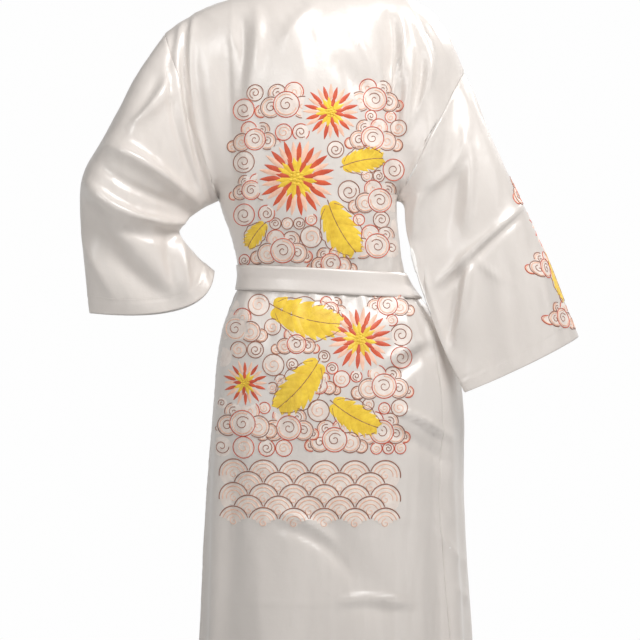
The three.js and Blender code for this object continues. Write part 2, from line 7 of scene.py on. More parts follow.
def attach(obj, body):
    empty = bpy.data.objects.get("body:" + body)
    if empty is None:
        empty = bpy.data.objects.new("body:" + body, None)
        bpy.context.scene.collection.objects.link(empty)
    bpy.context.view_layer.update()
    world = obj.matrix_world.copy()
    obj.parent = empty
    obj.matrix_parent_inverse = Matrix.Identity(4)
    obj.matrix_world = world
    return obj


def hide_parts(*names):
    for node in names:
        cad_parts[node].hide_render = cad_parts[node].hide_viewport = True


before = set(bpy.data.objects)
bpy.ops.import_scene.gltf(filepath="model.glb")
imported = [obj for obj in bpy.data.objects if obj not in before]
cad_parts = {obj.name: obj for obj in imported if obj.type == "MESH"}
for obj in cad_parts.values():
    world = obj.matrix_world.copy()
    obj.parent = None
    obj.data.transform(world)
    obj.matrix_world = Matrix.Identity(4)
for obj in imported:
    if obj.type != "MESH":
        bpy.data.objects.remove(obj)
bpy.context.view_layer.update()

MM = 0.001
PI = np.pi
QUARTER = PI / 2

# Cloth walls, laps and widths, as in the solids.
CLOTH_WALL = 1.3
BAND_WALL = 2.4
BELT_WALL = 2.2
LAP = 6.5
# Where the left front rises to lie over the right one, by share across and by level.
LAP_SHARE, LAP_LEVEL = (0.6, 0.42), (1180, 1085)
BELT_STAND = 4.1
BAND_WIDTH = 45
BELT_WIDTH = 40
KNOT_WIDTH, KNOT_HEIGHT, KNOT_RISE, KNOT_EDGE, KNOT_TURN = 52, 48, 13, 5, -94.5
TAIL_WIDTH, TAIL_GATHERED, TAIL_GATHERED_FROM, TAIL_HOLD, TAIL_STAND = 40, 0.5, 0.6, 7, 2.4
TAILS = {
    "belt_tail_left": {"top": -88, "turn": -78, "end": -905, "fall": 7},
    "belt_tail_right": {"top": -101, "turn": -112, "end": -868, "fall": 7},
}
UNDERARM_LEVEL = 956
SHOULDER_LEVEL = 1316
NECK_SHARE = 0.32
NECK_DROP = 42
NECK_ROUND = 0.6
NECK_MIDDLE = np.array([11.0, 0, 0])
COLLAR = {"lean_side": 0.62, "rise_side": 0.74, "lean_nape": 0.3, "rise_nape": 0.94}
COLLAR_STANDS_FROM = 1130
BAND_STITCH = 4  # From the band's free edge to its row of stitches.
HANG_PEAK = 1.54
BELT_HEIGHT = -474
BELT_TILT = 0.05
# Where the belt eases off the lapped fronts, in degrees round the body, and by how much more.
BELT_LAP_LEFT, BELT_LAP_RIGHT, BELT_LAP_EXTRA = (-30, -52), (-176, -150), 0.5
# How far up and down from the belt the folds of the body lie flat.
BELT_HOLDS = 46
# How far out from the body's front the knot and the sash's ends are laid round it.
TIED_REACH = 20
HEM_Z = -1300
HEM_DEPTH = 22

# The robe's body: a row for each level up the cloth from the hem.
BODY = (
    "level left right right_y back front mid",
    (0, 204, -260, 0, 156, -150, -28),
    (252, 192, -245, 0, 147, -140, -26),
    (476, 184, -231, 0, 142, -131, -24),
    (636, 174, -228, 6, 138, -124, -27),
    (748, 161, -200, 20, 119, -117, -19),
    (826, 134, -138, 32, 92, -105, -8),
    (886, 143, -125, 36, 106, -115, -2),
    (956, 166, -120, 36, 119, -122, 12),
    (1046, 172, -136, 27, 126, -120, 12),
    (1136, 188, -158, 18, 122, -106, 11),
    (1216, 216, -194, 10, 98, -82, 11),
    (1266, 238, -214, 5, 70, -58, 11),
    (1296, 249, -226, 2, 36, -30, 11),
    (1316, 254, -230, 0, 0, 0, 11),
)
HEIGHTS = (
    "level z z_left z_right flat",
    (0, -1300, -1300, -1300, 0),
    (886, -414, -414, -414, 0),
    (956, -344, -344, -344, 0),
    (1046, -254, -270, -286, 0.3),
    (1136, -162, -200, -226, 0.65),
    (1216, -74, -134, -176, 0.9),
    (1266, -27, -96, -151, 1),
    (1296, -8, -79, -141, 1),
    (1316, -5, -75, -139, 1),
)
FALL_LEFT, FALL_RIGHT = 3, 5.5
RIGHT_SEAM = (
    "level turn",
    (0, 143),
    (636, 144),
    (748, 150),
    (826, 162),
    (886, 174),
    (956, 180),
    (1316, 180),
)
FRONT_SEAM = (
    "level share",
    (0, -0.17),
    (636, -0.17),
    (826, -0.17),
    (956, -0.03),
    (1046, 0.09),
    (1136, 0.18),
    (1226, 0.26),
    (1316, NECK_SHARE),
)

# Each sleeve, a row for each ring from the armhole to the cuff.
SLEEVE_COLUMNS = "ring outer sag inner depth hang"
LEFT_SLEEVE = (
    (0, None, (210, 0, -209.5), None, 68, 0),
    (1, (275, 6, -104), (229, 5, -228), (183, 4, -351), 69, 0.1),
    (2, (303, 14, -149), (250, 11, -255), (197, 8, -359), 71, 0.3),
    (3, (330, 22, -203), (268, 17, -285), (207, 12, -366), 73, 0.5),
    (4, (358, 30, -256), (287, 23, -315), (216, 16, -374), 74, 0.5),
    (5, (380, 36, -293), (304, 28, -342), (226, 20, -385), 73, 0.5),
    (6, (388, 38, -331), (309, 30, -370), (229, 22, -397), 69, 0.5),
    (7, (387, 37, -384), (292, 29.5, -424), (217, 22, -414), 62, 0.4),
    (8, (382, 34, -443), (250, 27, -490), (198, 20, -435), 54, 0.3),
    (9, (378, 30, -488), (208, 24, -521), (183, 18, -449), 48, 0.2),
    (10, (374, 26, -525), (176, 21, -544), (173, 16, -458), 44, 0.1),
)
RIGHT_SLEEVE = (
    (0, None, (-175, 18, -241.5), None, 60, 0),
    (1, (-245, 4, -172), (-187, 24, -263), (-131, 44, -353), 57, 0.2),
    (2, (-264, 8, -224), (-199, 32.5, -305), (-136, 57, -387), 54, 0.7),
    (3, (-288, 13, -280), (-216, 40, -356), (-143, 67, -430), 53, 1),
    (4, (-312, 18, -332), (-234, 45.5, -407), (-156, 73, -480), 52, 1),
    (5, (-336, 23, -384), (-256, 50.5, -460), (-175, 78, -532), 52, 1),
    (6, (-363, 28, -443), (-278, 56, -516), (-194, 84, -582), 51, 0.9),
    (7, (-388, 32, -507), (-300, 60, -571), (-213, 89, -624), 50, 0.7),
    (8, (-410, 35, -563), (-317, 63, -615), (-227, 92, -651), 48, 0.5),
)
FLUTES = ((5, 0.4, 4.2), (9, 2.1, 3), (14, 1.2, 1.6))
FLUTE_TOP, FLUTE_GROWTH = -540, 620

# Folds and creases. A row of two heads those after it: the pieces that they cross, and the side
# that they are on (1 the back, -1 the front). Each other row is a line from one end, drawn towards
# a middle point, to the other end, then the half width, the height (below 0 in a trough), how sharp
# the crest is and how far it leans to one side. The last two are 0 where they are left out.
FOLDS = (
    ("all", 1),
    (222, -92, 204, -210, 182, -322, 20, -11),
    (240, -166, 258, -196, 300, -226, 15, 7, 0.3, 0.2),
    (340, -262, 290, -272, 200, -346, 16, 13, 0.3, 0.2),
    (371, -320, 318, -384, 220, -378, 14, 11, 0.3, 0.2),
    (386, -352, 322, -462, 240, -506, 22, -15),
    (-104, -60, -122, -170, -118, -310, 15, -10),
    (-150, -80, -134, -160, -128, -250, 14, 8, 0.3),
    (-168, -100, -184, -230, -150, -390, 22, 9, 0.3, 0.2),
    (-212, -120, -206, -190, -222, -270, 17, -5),
    (-318, -352, -245, -428, -176, -482, 13, 3, 0.3, 0.2),
    (-236, -440, -230, -500, -228, -570, 16, 6, 0.2),
    (88, -620, 60, -700, 52, -800, 26, -6),
    (-182, -720, -192, -960, -198, -1290, 20, -9),
    (40, -820, -50, -900, -100, -1010, 28, -6),
    ("all", -1),
    (150, -70, 140, -200, 96, -420, 20, -10.5),
    (-140, -110, -124, -230, -90, -420, 20, -10.5),
    (60, -540, 92, -760, 110, -1290, 30, -12),
    (-96, -540, -140, -760, -170, -1290, 28, 12, 0.2),
    (352, -290, 300, -330, 236, -356, 18, 12, 0.3),
    (-200, -150, -214, -300, -240, -470, 20, 12, 0.3),
)
CREASES = (
    # The left sleeve, from the shoulder down.
    ("all", 1),
    (206, -50, 222, -170, 172, -330, 6, 2.4, 0.6),
    (216, -54, 234, -180, 178, -338, 5, -3.4, 0.4),
    (227, -62, 246, -190, 186, -346, 6, 2.8, 0.6),
    (239, -76, 256, -190, 200, -320, 6, -2.6, 0.2),
    (238, -124, 250, -192, 308, -224, 9, 3.4, 0.6, 0.2),
    ("left", 1),
    (262, -150, 280, -196, 322, -240, 9, -2.2),
    (334, -258, 282, -280, 204, -338, 7, 2.6, 0.7, 0.2),
    (346, -296, 290, -336, 230, -352, 8, -3),
    (363, -322, 322, -378, 226, -380, 7, 2.4, 0.7, 0.1),
    (368, -352, 326, -404, 240, -404, 9, -2.6),
    (246, -404, 244, -440, 236, -480, 9, -3),
    (228, -404, 220, -440, 214, -490, 8, 4, 0.4),
    (206, -372, 226, -386, 262, -380, 7, 2, 0.6),
    (386, -390, 372, -440, 330, -500, 10, 2, 0.4),
    # The right shoulder and sleeve.
    ("all", 1),
    (-106, -46, -122, -94, -110, -140, 6, -4.4, 0.2),
    (-112, -70, -126, -130, -112, -196, 4, 2.4, 0.8),
    (-120, -96, -130, -160, -114, -250, 4, -2.4, 0.4),
    (-150, -40, -180, -70, -196, -110, 5, 2.2, 0.7),
    (-122, -44, -140, -90, -124, -160, 7, 3.4, 0.5),
    (-134, -30, -160, -80, -172, -140, 9, 4, 0.4),
    (-146, -76, -172, -150, -136, -240, 8, -4.6),
    (-166, -90, -190, -150, -132, -236, 9, 4.4, 0.5, 0.2),
    (-226, -222, -236, -286, -172, -322, 12, 4, 0.4, 0.2),
    (-158, -334, -146, -362, -146, -404, 8, 3, 0.5),
    ("right", 1),
    (-236, -262, -240, -330, -230, -384, 10, 4, 0.4, 0.2),
    (-206, -262, -212, -320, -196, -400, 18, -4.5),
    (-330, -350, -262, -402, -184, -478, 4.5, 2.4, 0.8, 0.3),
    (-312, -374, -256, -422, -194, -490, 6, -2.8, 0.3),
    (-234, -440, -230, -500, -212, -572, 7, 4, 0.7),
    (-292, -430, -296, -500, -306, -590, 13, -2.6),
    (-340, -432, -350, -490, -372, -560, 12, 2.2, 0.3),
    (-218, -456, -210, -510, -196, -580, 7, -3.6, 0.2),
    (-240, -430, -262, -462, -300, -478, 5, 2, 0.8),
    (-270, -440, -300, -520, -300, -600, 16, 3),
    (-150, -420, -172, -500, -206, -600, 7, 2.2, 0.5),
    # The back above the belt.
    ("body", 1),
    (150, -110, 156, -240, 142, -370, 19, -6),
    (120, -250, 128, -330, 112, -420, 14, 2.4, 0.2),
    (-45, -70, -66, -104, -85, -146, 6, 2.2, 0.6, 0.2),
    (-30, -130, -72, -172, -104, -232, 15, -5),
    (-60, -172, -92, -214, -112, -262, 9, 3.2, 0.4),
    (-66, -254, -92, -264, -110, -292, 12, 2.8, 0.3),
    (40, -60, 30, -160, 66, -300, 30, 2),
    (-30, -330, -70, -380, -96, -440, 14, -2.4),
    (70, -380, 84, -410, 88, -446, 9, 2, 0.3),
    (20, -400, 26, -424, 24, -448, 8, -1.6),
    (-40, -398, -48, -424, -50, -448, 8, 1.8, 0.3),
    (-84, -120, -98, -150, -106, -196, 4, 1.8, 0.9),
    (10, -34, 40, -60, 60, -96, 12, 2.4, 0.2),
    (104, -44, 96, -90, 112, -150, 12, 3, 0.2),
    (128, -60, 122, -120, 132, -190, 9, -2.8),
    # The back below the belt.
    (118, -488, 120, -510, 112, -545, 14, 4.2, 0.3),
    (-112, -492, -130, -530, -150, -590, 14, 5, 0.3),
    (-146, -520, -168, -560, -182, -620, 12, -3.4),
    (40, -490, 44, -520, 40, -560, 10, 1.8, 0.2),
    (-40, -490, -46, -530, -52, -590, 11, -2),
    (76, -490, 80, -520, 84, -570, 10, -2),
    (-168, -580, -140, -600, -108, -634, 14, -4.6),
    (-176, -566, -140, -578, -96, -606, 9, 3.4, 0.5, 0.2),
    (-124, -680, -158, -690, -204, -724, 7.5, 5, 0.7, -0.1),
    (-112, -712, -150, -726, -196, -764, 11, -3.4),
    (67, -862, 0, -872, -46, -938, 9, -3),
    (60, -842, 16, -852, -18, -884, 7, 3.6, 0.6, -0.2),
    (-30, -978, -80, -966, -136, -984, 8, 3.8, 0.5, -0.2),
    (-24, -994, -80, -988, -140, -1000, 8, -1),
    (-210, -960, -224, -975, -240, -990, 6, 2.4, 0.8),
    (-176, -860, -200, -900, -232, -930, 7, 2.4, 0.7),
    (-190, -800, -204, -840, -214, -900, 9, -2.4),
    (150, -700, 140, -860, 158, -1050, 18, -3),
    (100, -900, 88, -1060, 96, -1296, 22, 3.4, 0.2),
    (-110, -960, -124, -1100, -120, -1296, 22, 3.2, 0.2),
    (30, -1000, 36, -1140, 24, -1296, 20, -3),
    # The fronts.
    ("body", -1),
    (90, -200, 70, -320, 20, -430, 14, 4.5, 0.3),
    (128, -260, 104, -350, 60, -440, 12, -4.5),
    (-84, -220, -70, -330, -52, -440, 13, 4.5, 0.3),
    (-100, -320, -92, -380, -80, -446, 10, -3.6),
    (30, -500, 46, -640, 40, -860, 16, 4.5, 0.3),
    (-50, -500, -70, -640, -86, -900, 16, -4.5),
    (-150, -560, -176, -800, -190, -1200, 18, -4.5),
    (130, -560, 150, -800, 158, -1280, 18, 4.5, 0.2),
    (10, -900, 24, -1100, 20, -1296, 18, 4.5, 0.2),
    ("left", -1),
    (330, -300, 276, -330, 220, -372, 9, -3.9),
    (366, -350, 320, -410, 240, -420, 8, 3.9, 0.5),
    ("all", -1),
    (250, -140, 262, -220, 240, -320, 12, 3.9, 0.3),
    (-210, -180, -226, -290, -200, -380, 10, 3.9, 0.4),
    ("right", -1),
    (-300, -330, -250, -420, -190, -520, 10, -3.9),
    (-330, -420, -300, -500, -260, -590, 12, 3.9, 0.3),
)

# Lines pressed into the cloth while it lay folded, as narrow ridges.
PRESSED = (
    ("body", 1),
    (144, -30, 144, -130, 144, -240, 4.5, 1.3, 0.9),
    (96, -320, 96, -390, 96, -456, 4.5, 1.3, 0.9),
    (96, -490, 96, -520, 96, -556, 4.5, 1.2, 0.9),
    (-13, -850, -13, -1060, -13, -1296, 4.5, 1.3, 0.9),
    (190, -547, 140, -547, 90, -548, 5.5, 1.3, 0.9),
    (150, -850, -40, -852, -240, -850, 6, 1.3, 0.9),
    (150, -981, -40, -982, -240, -980, 6, 1.3, 0.9),
    ("body", -1),
    (60, -850, 0, -852, -240, -850, 6, 1.2, 0.9),
    (120, -560, 120, -900, 120, -1296, 5, 1.2, 0.9),
)

# Past these places across, the folds are on the sleeves. The belt doesn't hold those.
SLEEVES_FROM = (175, -165)
# How far the cloth has to face the fold's side: none of the fold, and all of it.
FOLD_FACING = (0.05, 0.6)
# How far from its line a fold still counts, in its half widths.
FOLD_REACH = 3.2
# How many times its stated height each kind of fold is raised.
FOLD_GAIN, CREASE_GAIN, RIPPLE_GAIN = 1.3, 2, 1.6

# How many rows and columns each form gets.
SKIRT_ROWS, BELT_ROWS, CHEST_ROWS, YOKE_ROWS = 134, 8, 22, 68
FOLD_STEPS = 48
# The rows under the arms that are laid straight, and the columns over which that eases in.
CLOSE_ROWS, CLOSE_EDGE = 7, 6
SIDE_COLUMNS, NECK_COLUMNS = 52, 44
SLEEVE_ROWS, BAND_COLUMNS = 108, 12
BELT_TURNS, BELT_COLUMNS = 300, 10


def clamp01(v):
    return np.clip(v, 0, 1)


def ease(v, start, end):
    s = clamp01((v - start) / (end - start))
    return s * s * (3 - 2 * s)


def lerp(a, b, share):
    return a + (b - a) * share


def hump(v, width):
    return np.exp(-((v / width) ** 2))


def wavy(v, *terms):
    """A sum of waves, each with its height, its pitch and its start."""
    return sum(height * np.cos(pitch * v + start) for height, pitch, start in terms)


def unit(v):
    return v / np.maximum(np.linalg.norm(v, axis=-1, keepdims=True), 1e-12)


def curve_through(at, value):
    """A smooth curve through the values at the given places."""
    at, value = np.asarray(at, float), np.asarray(value, float)
    last = len(at) - 1
    before = np.maximum(np.arange(last + 1) - 1, 0)
    after = np.minimum(np.arange(last + 1) + 1, last)
    reach = at[after] - at[before]
    slope = (value[after] - value[before]) / (reach[:, None] if value.ndim == 2 else reach)

    def read(where):
        where = np.asarray(where, float)
        i = np.clip(np.searchsorted(at, where, side="left") - 1, 0, last - 1)
        span = at[i + 1] - at[i]
        s = clamp01((where - at[i]) / span)
        if value.ndim == 2:
            s, span = s[..., None], span[..., None]
        s2, s3 = s * s, s * s * s
        near = value[i] * (2 * s3 - 3 * s2 + 1) + slope[i] * span * (s3 - 2 * s2 + s)
        far = value[i + 1] * (3 * s2 - 2 * s3) + slope[i + 1] * span * (s3 - s2)
        return near + far

    return read


def curves(names, rows):
    """A smooth curve for each named column of a table, read by its first one."""
    at = [row[0] for row in rows]
    names = names.split()
    return {name: curve_through(at, [row[k] for row in rows]) for k, name in enumerate(names) if k}


body = {**curves(BODY[0], BODY[1:]), **curves(HEIGHTS[0], HEIGHTS[1:])}
right_seam = curves(RIGHT_SEAM[0], RIGHT_SEAM[1:])["turn"]
front_seam = curves(FRONT_SEAM[0], FRONT_SEAM[1:])["share"]


def flute(turn, z):
    grown = clamp01((FLUTE_TOP - z) / FLUTE_GROWTH)
    return sum(height * np.cos(waves * turn + start) for waves, start, height in FLUTES) * grown


def body_point(turn, level):
    """A point on the robe's body at an angle from its left by the back, without the sleeves."""
    turn, level = np.broadcast_arrays(np.asarray(turn, float), np.asarray(level, float))
    angle = np.arctan2(np.sin(turn), np.cos(turn))
    across = 1 - np.abs(angle) / QUARTER
    to_left = across >= 0
    flat = body["flat"](level)
    rounded = np.cos(across * QUARTER)
    reach = np.abs(lerp(np.sin(across * QUARTER), across, flat))
    out = lerp(rounded, 1 - across * across, flat)
    fall = np.where(to_left, FALL_LEFT, FALL_RIGHT)
    lift = lerp(rounded, 1 - np.abs(across) ** fall, flat)
    mid = body["mid"](level)
    side = np.where(to_left, body["left"](level), body["right"](level))
    side_z = np.where(to_left, body["z_left"](level), body["z_right"](level))
    depth = np.where(angle >= 0, body["back"](level), body["front"](level))
    z = lerp(side_z, body["z"](level), lift)
    fluted = 1 + flute(angle, z) / np.maximum(body["back"](level), 1)
    swell = np.where(level < UNDERARM_LEVEL, fluted, 1)
    side_y = np.where(to_left, 0, body["right_y"](level))
    return np.stack([mid + (side - mid) * reach * swell, lerp(side_y, depth, out) * swell, z], -1)


def sleeve_curves(table, seam_at_shoulder, seam_under_arm):
    outer = tuple(body_point(np.radians(seam_at_shoulder), SHOULDER_LEVEL))
    inner = tuple(body_point(np.radians(seam_under_arm), UNDERARM_LEVEL))
    first = table[0]
    start = (first[0], outer, first[2], inner, first[4], first[5])
    return curves(SLEEVE_COLUMNS, (start, *table[1:]))


left_sleeve = sleeve_curves(LEFT_SLEEVE, 0, 0)
right_sleeve = sleeve_curves(RIGHT_SLEEVE, right_seam(SHOULDER_LEVEL), right_seam(UNDERARM_LEVEL))


def sleeve_point(sleeve, ring, turn):
    """A point on a sleeve: the ring along it and an angle from its outer edge by the back."""
    ring, turn = np.broadcast_arrays(np.asarray(ring, float), np.asarray(turn, float))
    outer, inner = sleeve["outer"](ring), sleeve["inner"](ring)
    share = (1 - np.cos(turn)) / 2
    chord = unit(inner - outer)
    deep = unit(np.array([0.0, 1, 0]) - chord * chord[..., 1:2])
    bulge = np.sin(turn) * lerp(1, HANG_PEAK * (1 - share), sleeve["hang"](ring))
    share = share[..., None]
    middle = sleeve["sag"](ring)
    line = outer * (1 - share) ** 2 + middle * 2 * share * (1 - share) + inner * share * share
    return line + deep * (sleeve["depth"](ring) * bulge)[..., None]


def armhole(sleeve, level, at_back):
    up = clamp01((level - UNDERARM_LEVEL) / (SHOULDER_LEVEL - UNDERARM_LEVEL))
    return sleeve_point(sleeve, np.zeros_like(up), (1 if at_back else -1) * np.arccos(2 * up - 1))


def panel_point(share, level, at_back):
    """A point on the back or the fronts: share runs from 1 at the left seam to -1 at the right."""
    share, level = np.broadcast_arrays(np.asarray(share, float), np.asarray(level, float))
    seam = np.radians(right_seam(level))
    middle = seam / 2 if at_back else seam / 2 - PI
    end = seam if at_back else seam - 2 * PI
    to_left = share >= 0
    turn = np.where(to_left, lerp(middle, 0, share), lerp(middle, end, -share))
    point = body_point(turn, level)
    holes = [armhole(sleeve, level, at_back) for sleeve in (left_sleeve, right_sleeve)]
    hole = np.where(to_left[..., None], *holes)
    drawn = hole - body_point(np.where(to_left, 0, end), level)
    up = (level - UNDERARM_LEVEL) / (SHOULDER_LEVEL - UNDERARM_LEVEL)
    near = np.abs(share)
    weight = np.where(up > 0, near**4 * lerp(ease(up, 0, 0.12), 1, near**16), 0)
    return point + drawn * weight[..., None]


def outward(share, level):
    step = 0.02
    side = panel_point(share + step, level, False) - panel_point(share - step, level, False)
    up = panel_point(share, level + 4, False) - panel_point(share, level - 4, False)
    return unit(np.cross(side, up))


def front_point(share, level, is_left):
    point = panel_point(share, level, False)
    if not is_left:
        return point
    lap = LAP * ease(share, *LAP_SHARE) * ease(level, *LAP_LEVEL)
    return point + outward(share, level) * lap[..., None]


def back_top(share):
    in_neck = np.minimum(np.abs(share) / NECK_SHARE, 1)
    return SHOULDER_LEVEL - NECK_DROP * (1 - in_neck * in_neck) ** NECK_ROUND


def steps(count):
    return np.linspace(0, 1, count + 1)


EDGE_STEPS = np.array([0, 0.0035, 0.008, 0.014, 0.022])


def close_ends(count, first, last):
    """Places from 0 to 1, even in the middle and close together at the ends that are asked for."""
    near = EDGE_STEPS[:4]
    inner = np.linspace(
        EDGE_STEPS[4] if first else 0, 1 - EDGE_STEPS[4] if last else 1, count - 3 * (first + last)
    )
    return np.concatenate([near[: 4 * first], inner, (1 - near[::-1])[4 - 4 * last :]])


# The rows of a hem, close together at its edge and at its stitches.
HEM_ROWS = [0, 0.8, 2.2, 5, 9, 13, 16.5, 18.5, 20, 21.2, 22, 22.8, 24, 26, 29, 33]
HEM_TOP = 38


def level_rows():
    skirt_top = BELT_HEIGHT - BELT_WIDTH / 2 - HEM_Z
    belt_top = skirt_top + BELT_WIDTH
    yoke = lerp(UNDERARM_LEVEL, SHOULDER_LEVEL, (1 - np.cos(PI * steps(YOKE_ROWS))) / 2)
    return np.concatenate(
        [
            HEM_ROWS,
            lerp(HEM_TOP, skirt_top, steps(SKIRT_ROWS)),
            lerp(skirt_top, belt_top, steps(BELT_ROWS))[1:],
            lerp(belt_top, UNDERARM_LEVEL, steps(CHEST_ROWS))[1:-1],
            yoke,
        ]
    )


def straight_to_seam(points):
    """The last columns of a panel, laid straight towards its side seam."""
    for k in (1, 2, 3):
        points[:, -1 - k] = lerp(points[:, -1], points[:, -5], EDGE_STEPS[k] / EDGE_STEPS[4])
    return points


LEVELS = level_rows()
SIDES = close_ends(SIDE_COLUMNS, 1, 1)


def back_sheet():
    sides = lerp(1, NECK_SHARE, (1 - SIDES)[::-1])
    neck = lerp(NECK_SHARE, -NECK_SHARE, steps(NECK_COLUMNS))[1:-1]
    shares = np.concatenate([sides, neck, -sides[::-1]])
    above = np.maximum(0, LEVELS - UNDERARM_LEVEL)[:, None]
    squeeze = ((back_top(shares) - UNDERARM_LEVEL) / (SHOULDER_LEVEL - UNDERARM_LEVEL))[None, :]
    level = np.minimum(LEVELS, UNDERARM_LEVEL)[:, None] + above * squeeze
    points = straight_to_seam(panel_point(shares[None, :] + 0 * level, level, True))
    return {"points": straight_to_seam(points[:, ::-1])[:, ::-1], "flip": False, "on": "body"}


def front_sheet(is_left):
    seam = front_seam(LEVELS)[:, None] * (1 if is_left else -1)
    edge = 1 if is_left else -1
    points = front_point(lerp(seam, edge, SIDES[None, :]), LEVELS[:, None] + 0 * SIDES, is_left)
    return {"points": straight_to_seam(points), "flip": not is_left, "on": "body"}


def sleeve_sheet(sleeve, rings, is_left):
    turns = 2 * PI * steps(2 * YOKE_ROWS)[:-1]
    rows = close_ends(SLEEVE_ROWS, 1, 1) * (rings - 1)
    points = sleeve_point(sleeve, rows[:, None] + 0 * turns, turns[None, :] + 0 * rows[:, None])
    return {"points": points, "flip": is_left, "closed": True, "on": "left" if is_left else "right"}


BAND_STEPS = close_ends(BAND_COLUMNS, 0, 0)


def band_upright(seam_point, share, nape):
    inward = NECK_MIDDLE - seam_point
    inward[..., 2] = 0
    inward = unit(inward)
    lean = lerp(COLLAR["lean_side"], COLLAR["lean_nape"], nape)
    rise = lerp(COLLAR["rise_side"], COLLAR["rise_nape"], nape)
    up = np.array([0.0, 0, 1])
    return seam_point + (inward * lean + up * rise) * BAND_WIDTH * share


def band_on_front(level, is_left):
    seam = front_seam(level) * (1 if is_left else -1)
    inward = -1 if is_left else 1
    start = front_point(seam, level, is_left)
    probe = 0.05
    inside = front_point(seam + inward * probe, level, is_left)
    reach = np.linalg.norm(inside - start, axis=-1) / probe
    standing = ease(level, COLLAR_STANDS_FROM, SHOULDER_LEVEL)[:, None]
    columns = []
    for s in BAND_STEPS:
        lying = front_point(seam + inward * s * BAND_WIDTH / reach, level, is_left)
        columns.append(lerp(lying, band_upright(start, s, 0), standing))
    return np.stack(columns, 1)


def band_sheet():
    up = band_on_front(LEVELS, False)
    down = band_on_front(LEVELS, True)[::-1]
    share = lerp(-NECK_SHARE, NECK_SHARE, steps(NECK_COLUMNS))[1:-1]
    seam_point = panel_point(share, back_top(share), True)
    nape = ease(np.abs(share), NECK_SHARE, 0)[:, None]
    around = np.stack([band_upright(seam_point, s, nape) for s in BAND_STEPS], 1)
    return {"points": np.concatenate([up, around, down]), "flip": False, "on": "body"}


def above_body(turn, z, height):
    """The body's surface out to a height above the right front."""
    turn, z = np.broadcast_arrays(np.asarray(turn, float), np.asarray(z, float))
    level = z - HEM_Z
    around = body_point(turn + 0.03, level) - body_point(turn - 0.03, level)
    out = unit(np.stack([around[..., 1], -around[..., 0], 0 * z], -1))
    return body_point(turn, level) + out * np.asarray(height)[..., None]


def belt_lap(turn):
    degrees = np.degrees(np.arctan2(np.sin(turn), np.cos(turn)))
    lap = (LAP + BELT_LAP_EXTRA) * ease(degrees, *BELT_LAP_LEFT) * ease(degrees, *BELT_LAP_RIGHT)
    return np.where(degrees > 0, 0, lap)


def grid_normals(points, flip, closed):
    """Unit face normals summed at each point of a grid."""
    next_point = np.roll(points, -1, axis=1)
    a, b = points[:-1], next_point[:-1]
    c, d = next_point[1:], points[1:]
    normal = unit(np.cross(c - a, d - b)) * (-1 if flip else 1)
    if not closed:
        normal = normal[:, :-1]
    total = np.zeros_like(points)
    if closed:
        total[:-1] += normal + np.roll(normal, 1, axis=1)
        total[1:] += normal + np.roll(normal, 1, axis=1)
    else:
        for rows in (slice(0, -1), slice(1, None)):
            total[rows, :-1] += normal
            total[rows, 1:] += normal
    return total


# Points in one small cell are one point, and each cell has its own number.
CELLS_PER_MM, CELL_STRIDE = 50, 200003


def shared_normals(sheets):
    """Normals at every point, shared where sheets meet at a seam."""
    flat = [grid_normals(s["points"], s["flip"], s.get("closed", False)) for s in sheets]
    cells = [np.round(s["points"].reshape(-1, 3) * CELLS_PER_MM) for s in sheets]
    cells = np.concatenate(cells).astype(np.int64)
    key = (cells[:, 0] * CELL_STRIDE + cells[:, 1]) * CELL_STRIDE + cells[:, 2]
    _, group = np.unique(key, return_inverse=True)
    joined = np.concatenate([normals.reshape(-1, 3) for normals in flat])
    summed = np.stack([np.bincount(group, joined[:, k]) for k in range(3)], -1)
    shared = unit(summed[group])
    out, start = [], 0
    for sheet in sheets:
        count = sheet["points"].shape[0] * sheet["points"].shape[1]
        out.append(shared[start : start + count].reshape(sheet["points"].shape))
        start += count
    return out


def crest(distance, sharp):
    """A fold's section: a round hump, or a narrower and sharper one."""
    soft = np.exp(-(distance**2))
    keen = np.exp(-1.7 * (np.sqrt(distance**2 + 0.03) - 0.173))
    return lerp(soft, keen, sharp)


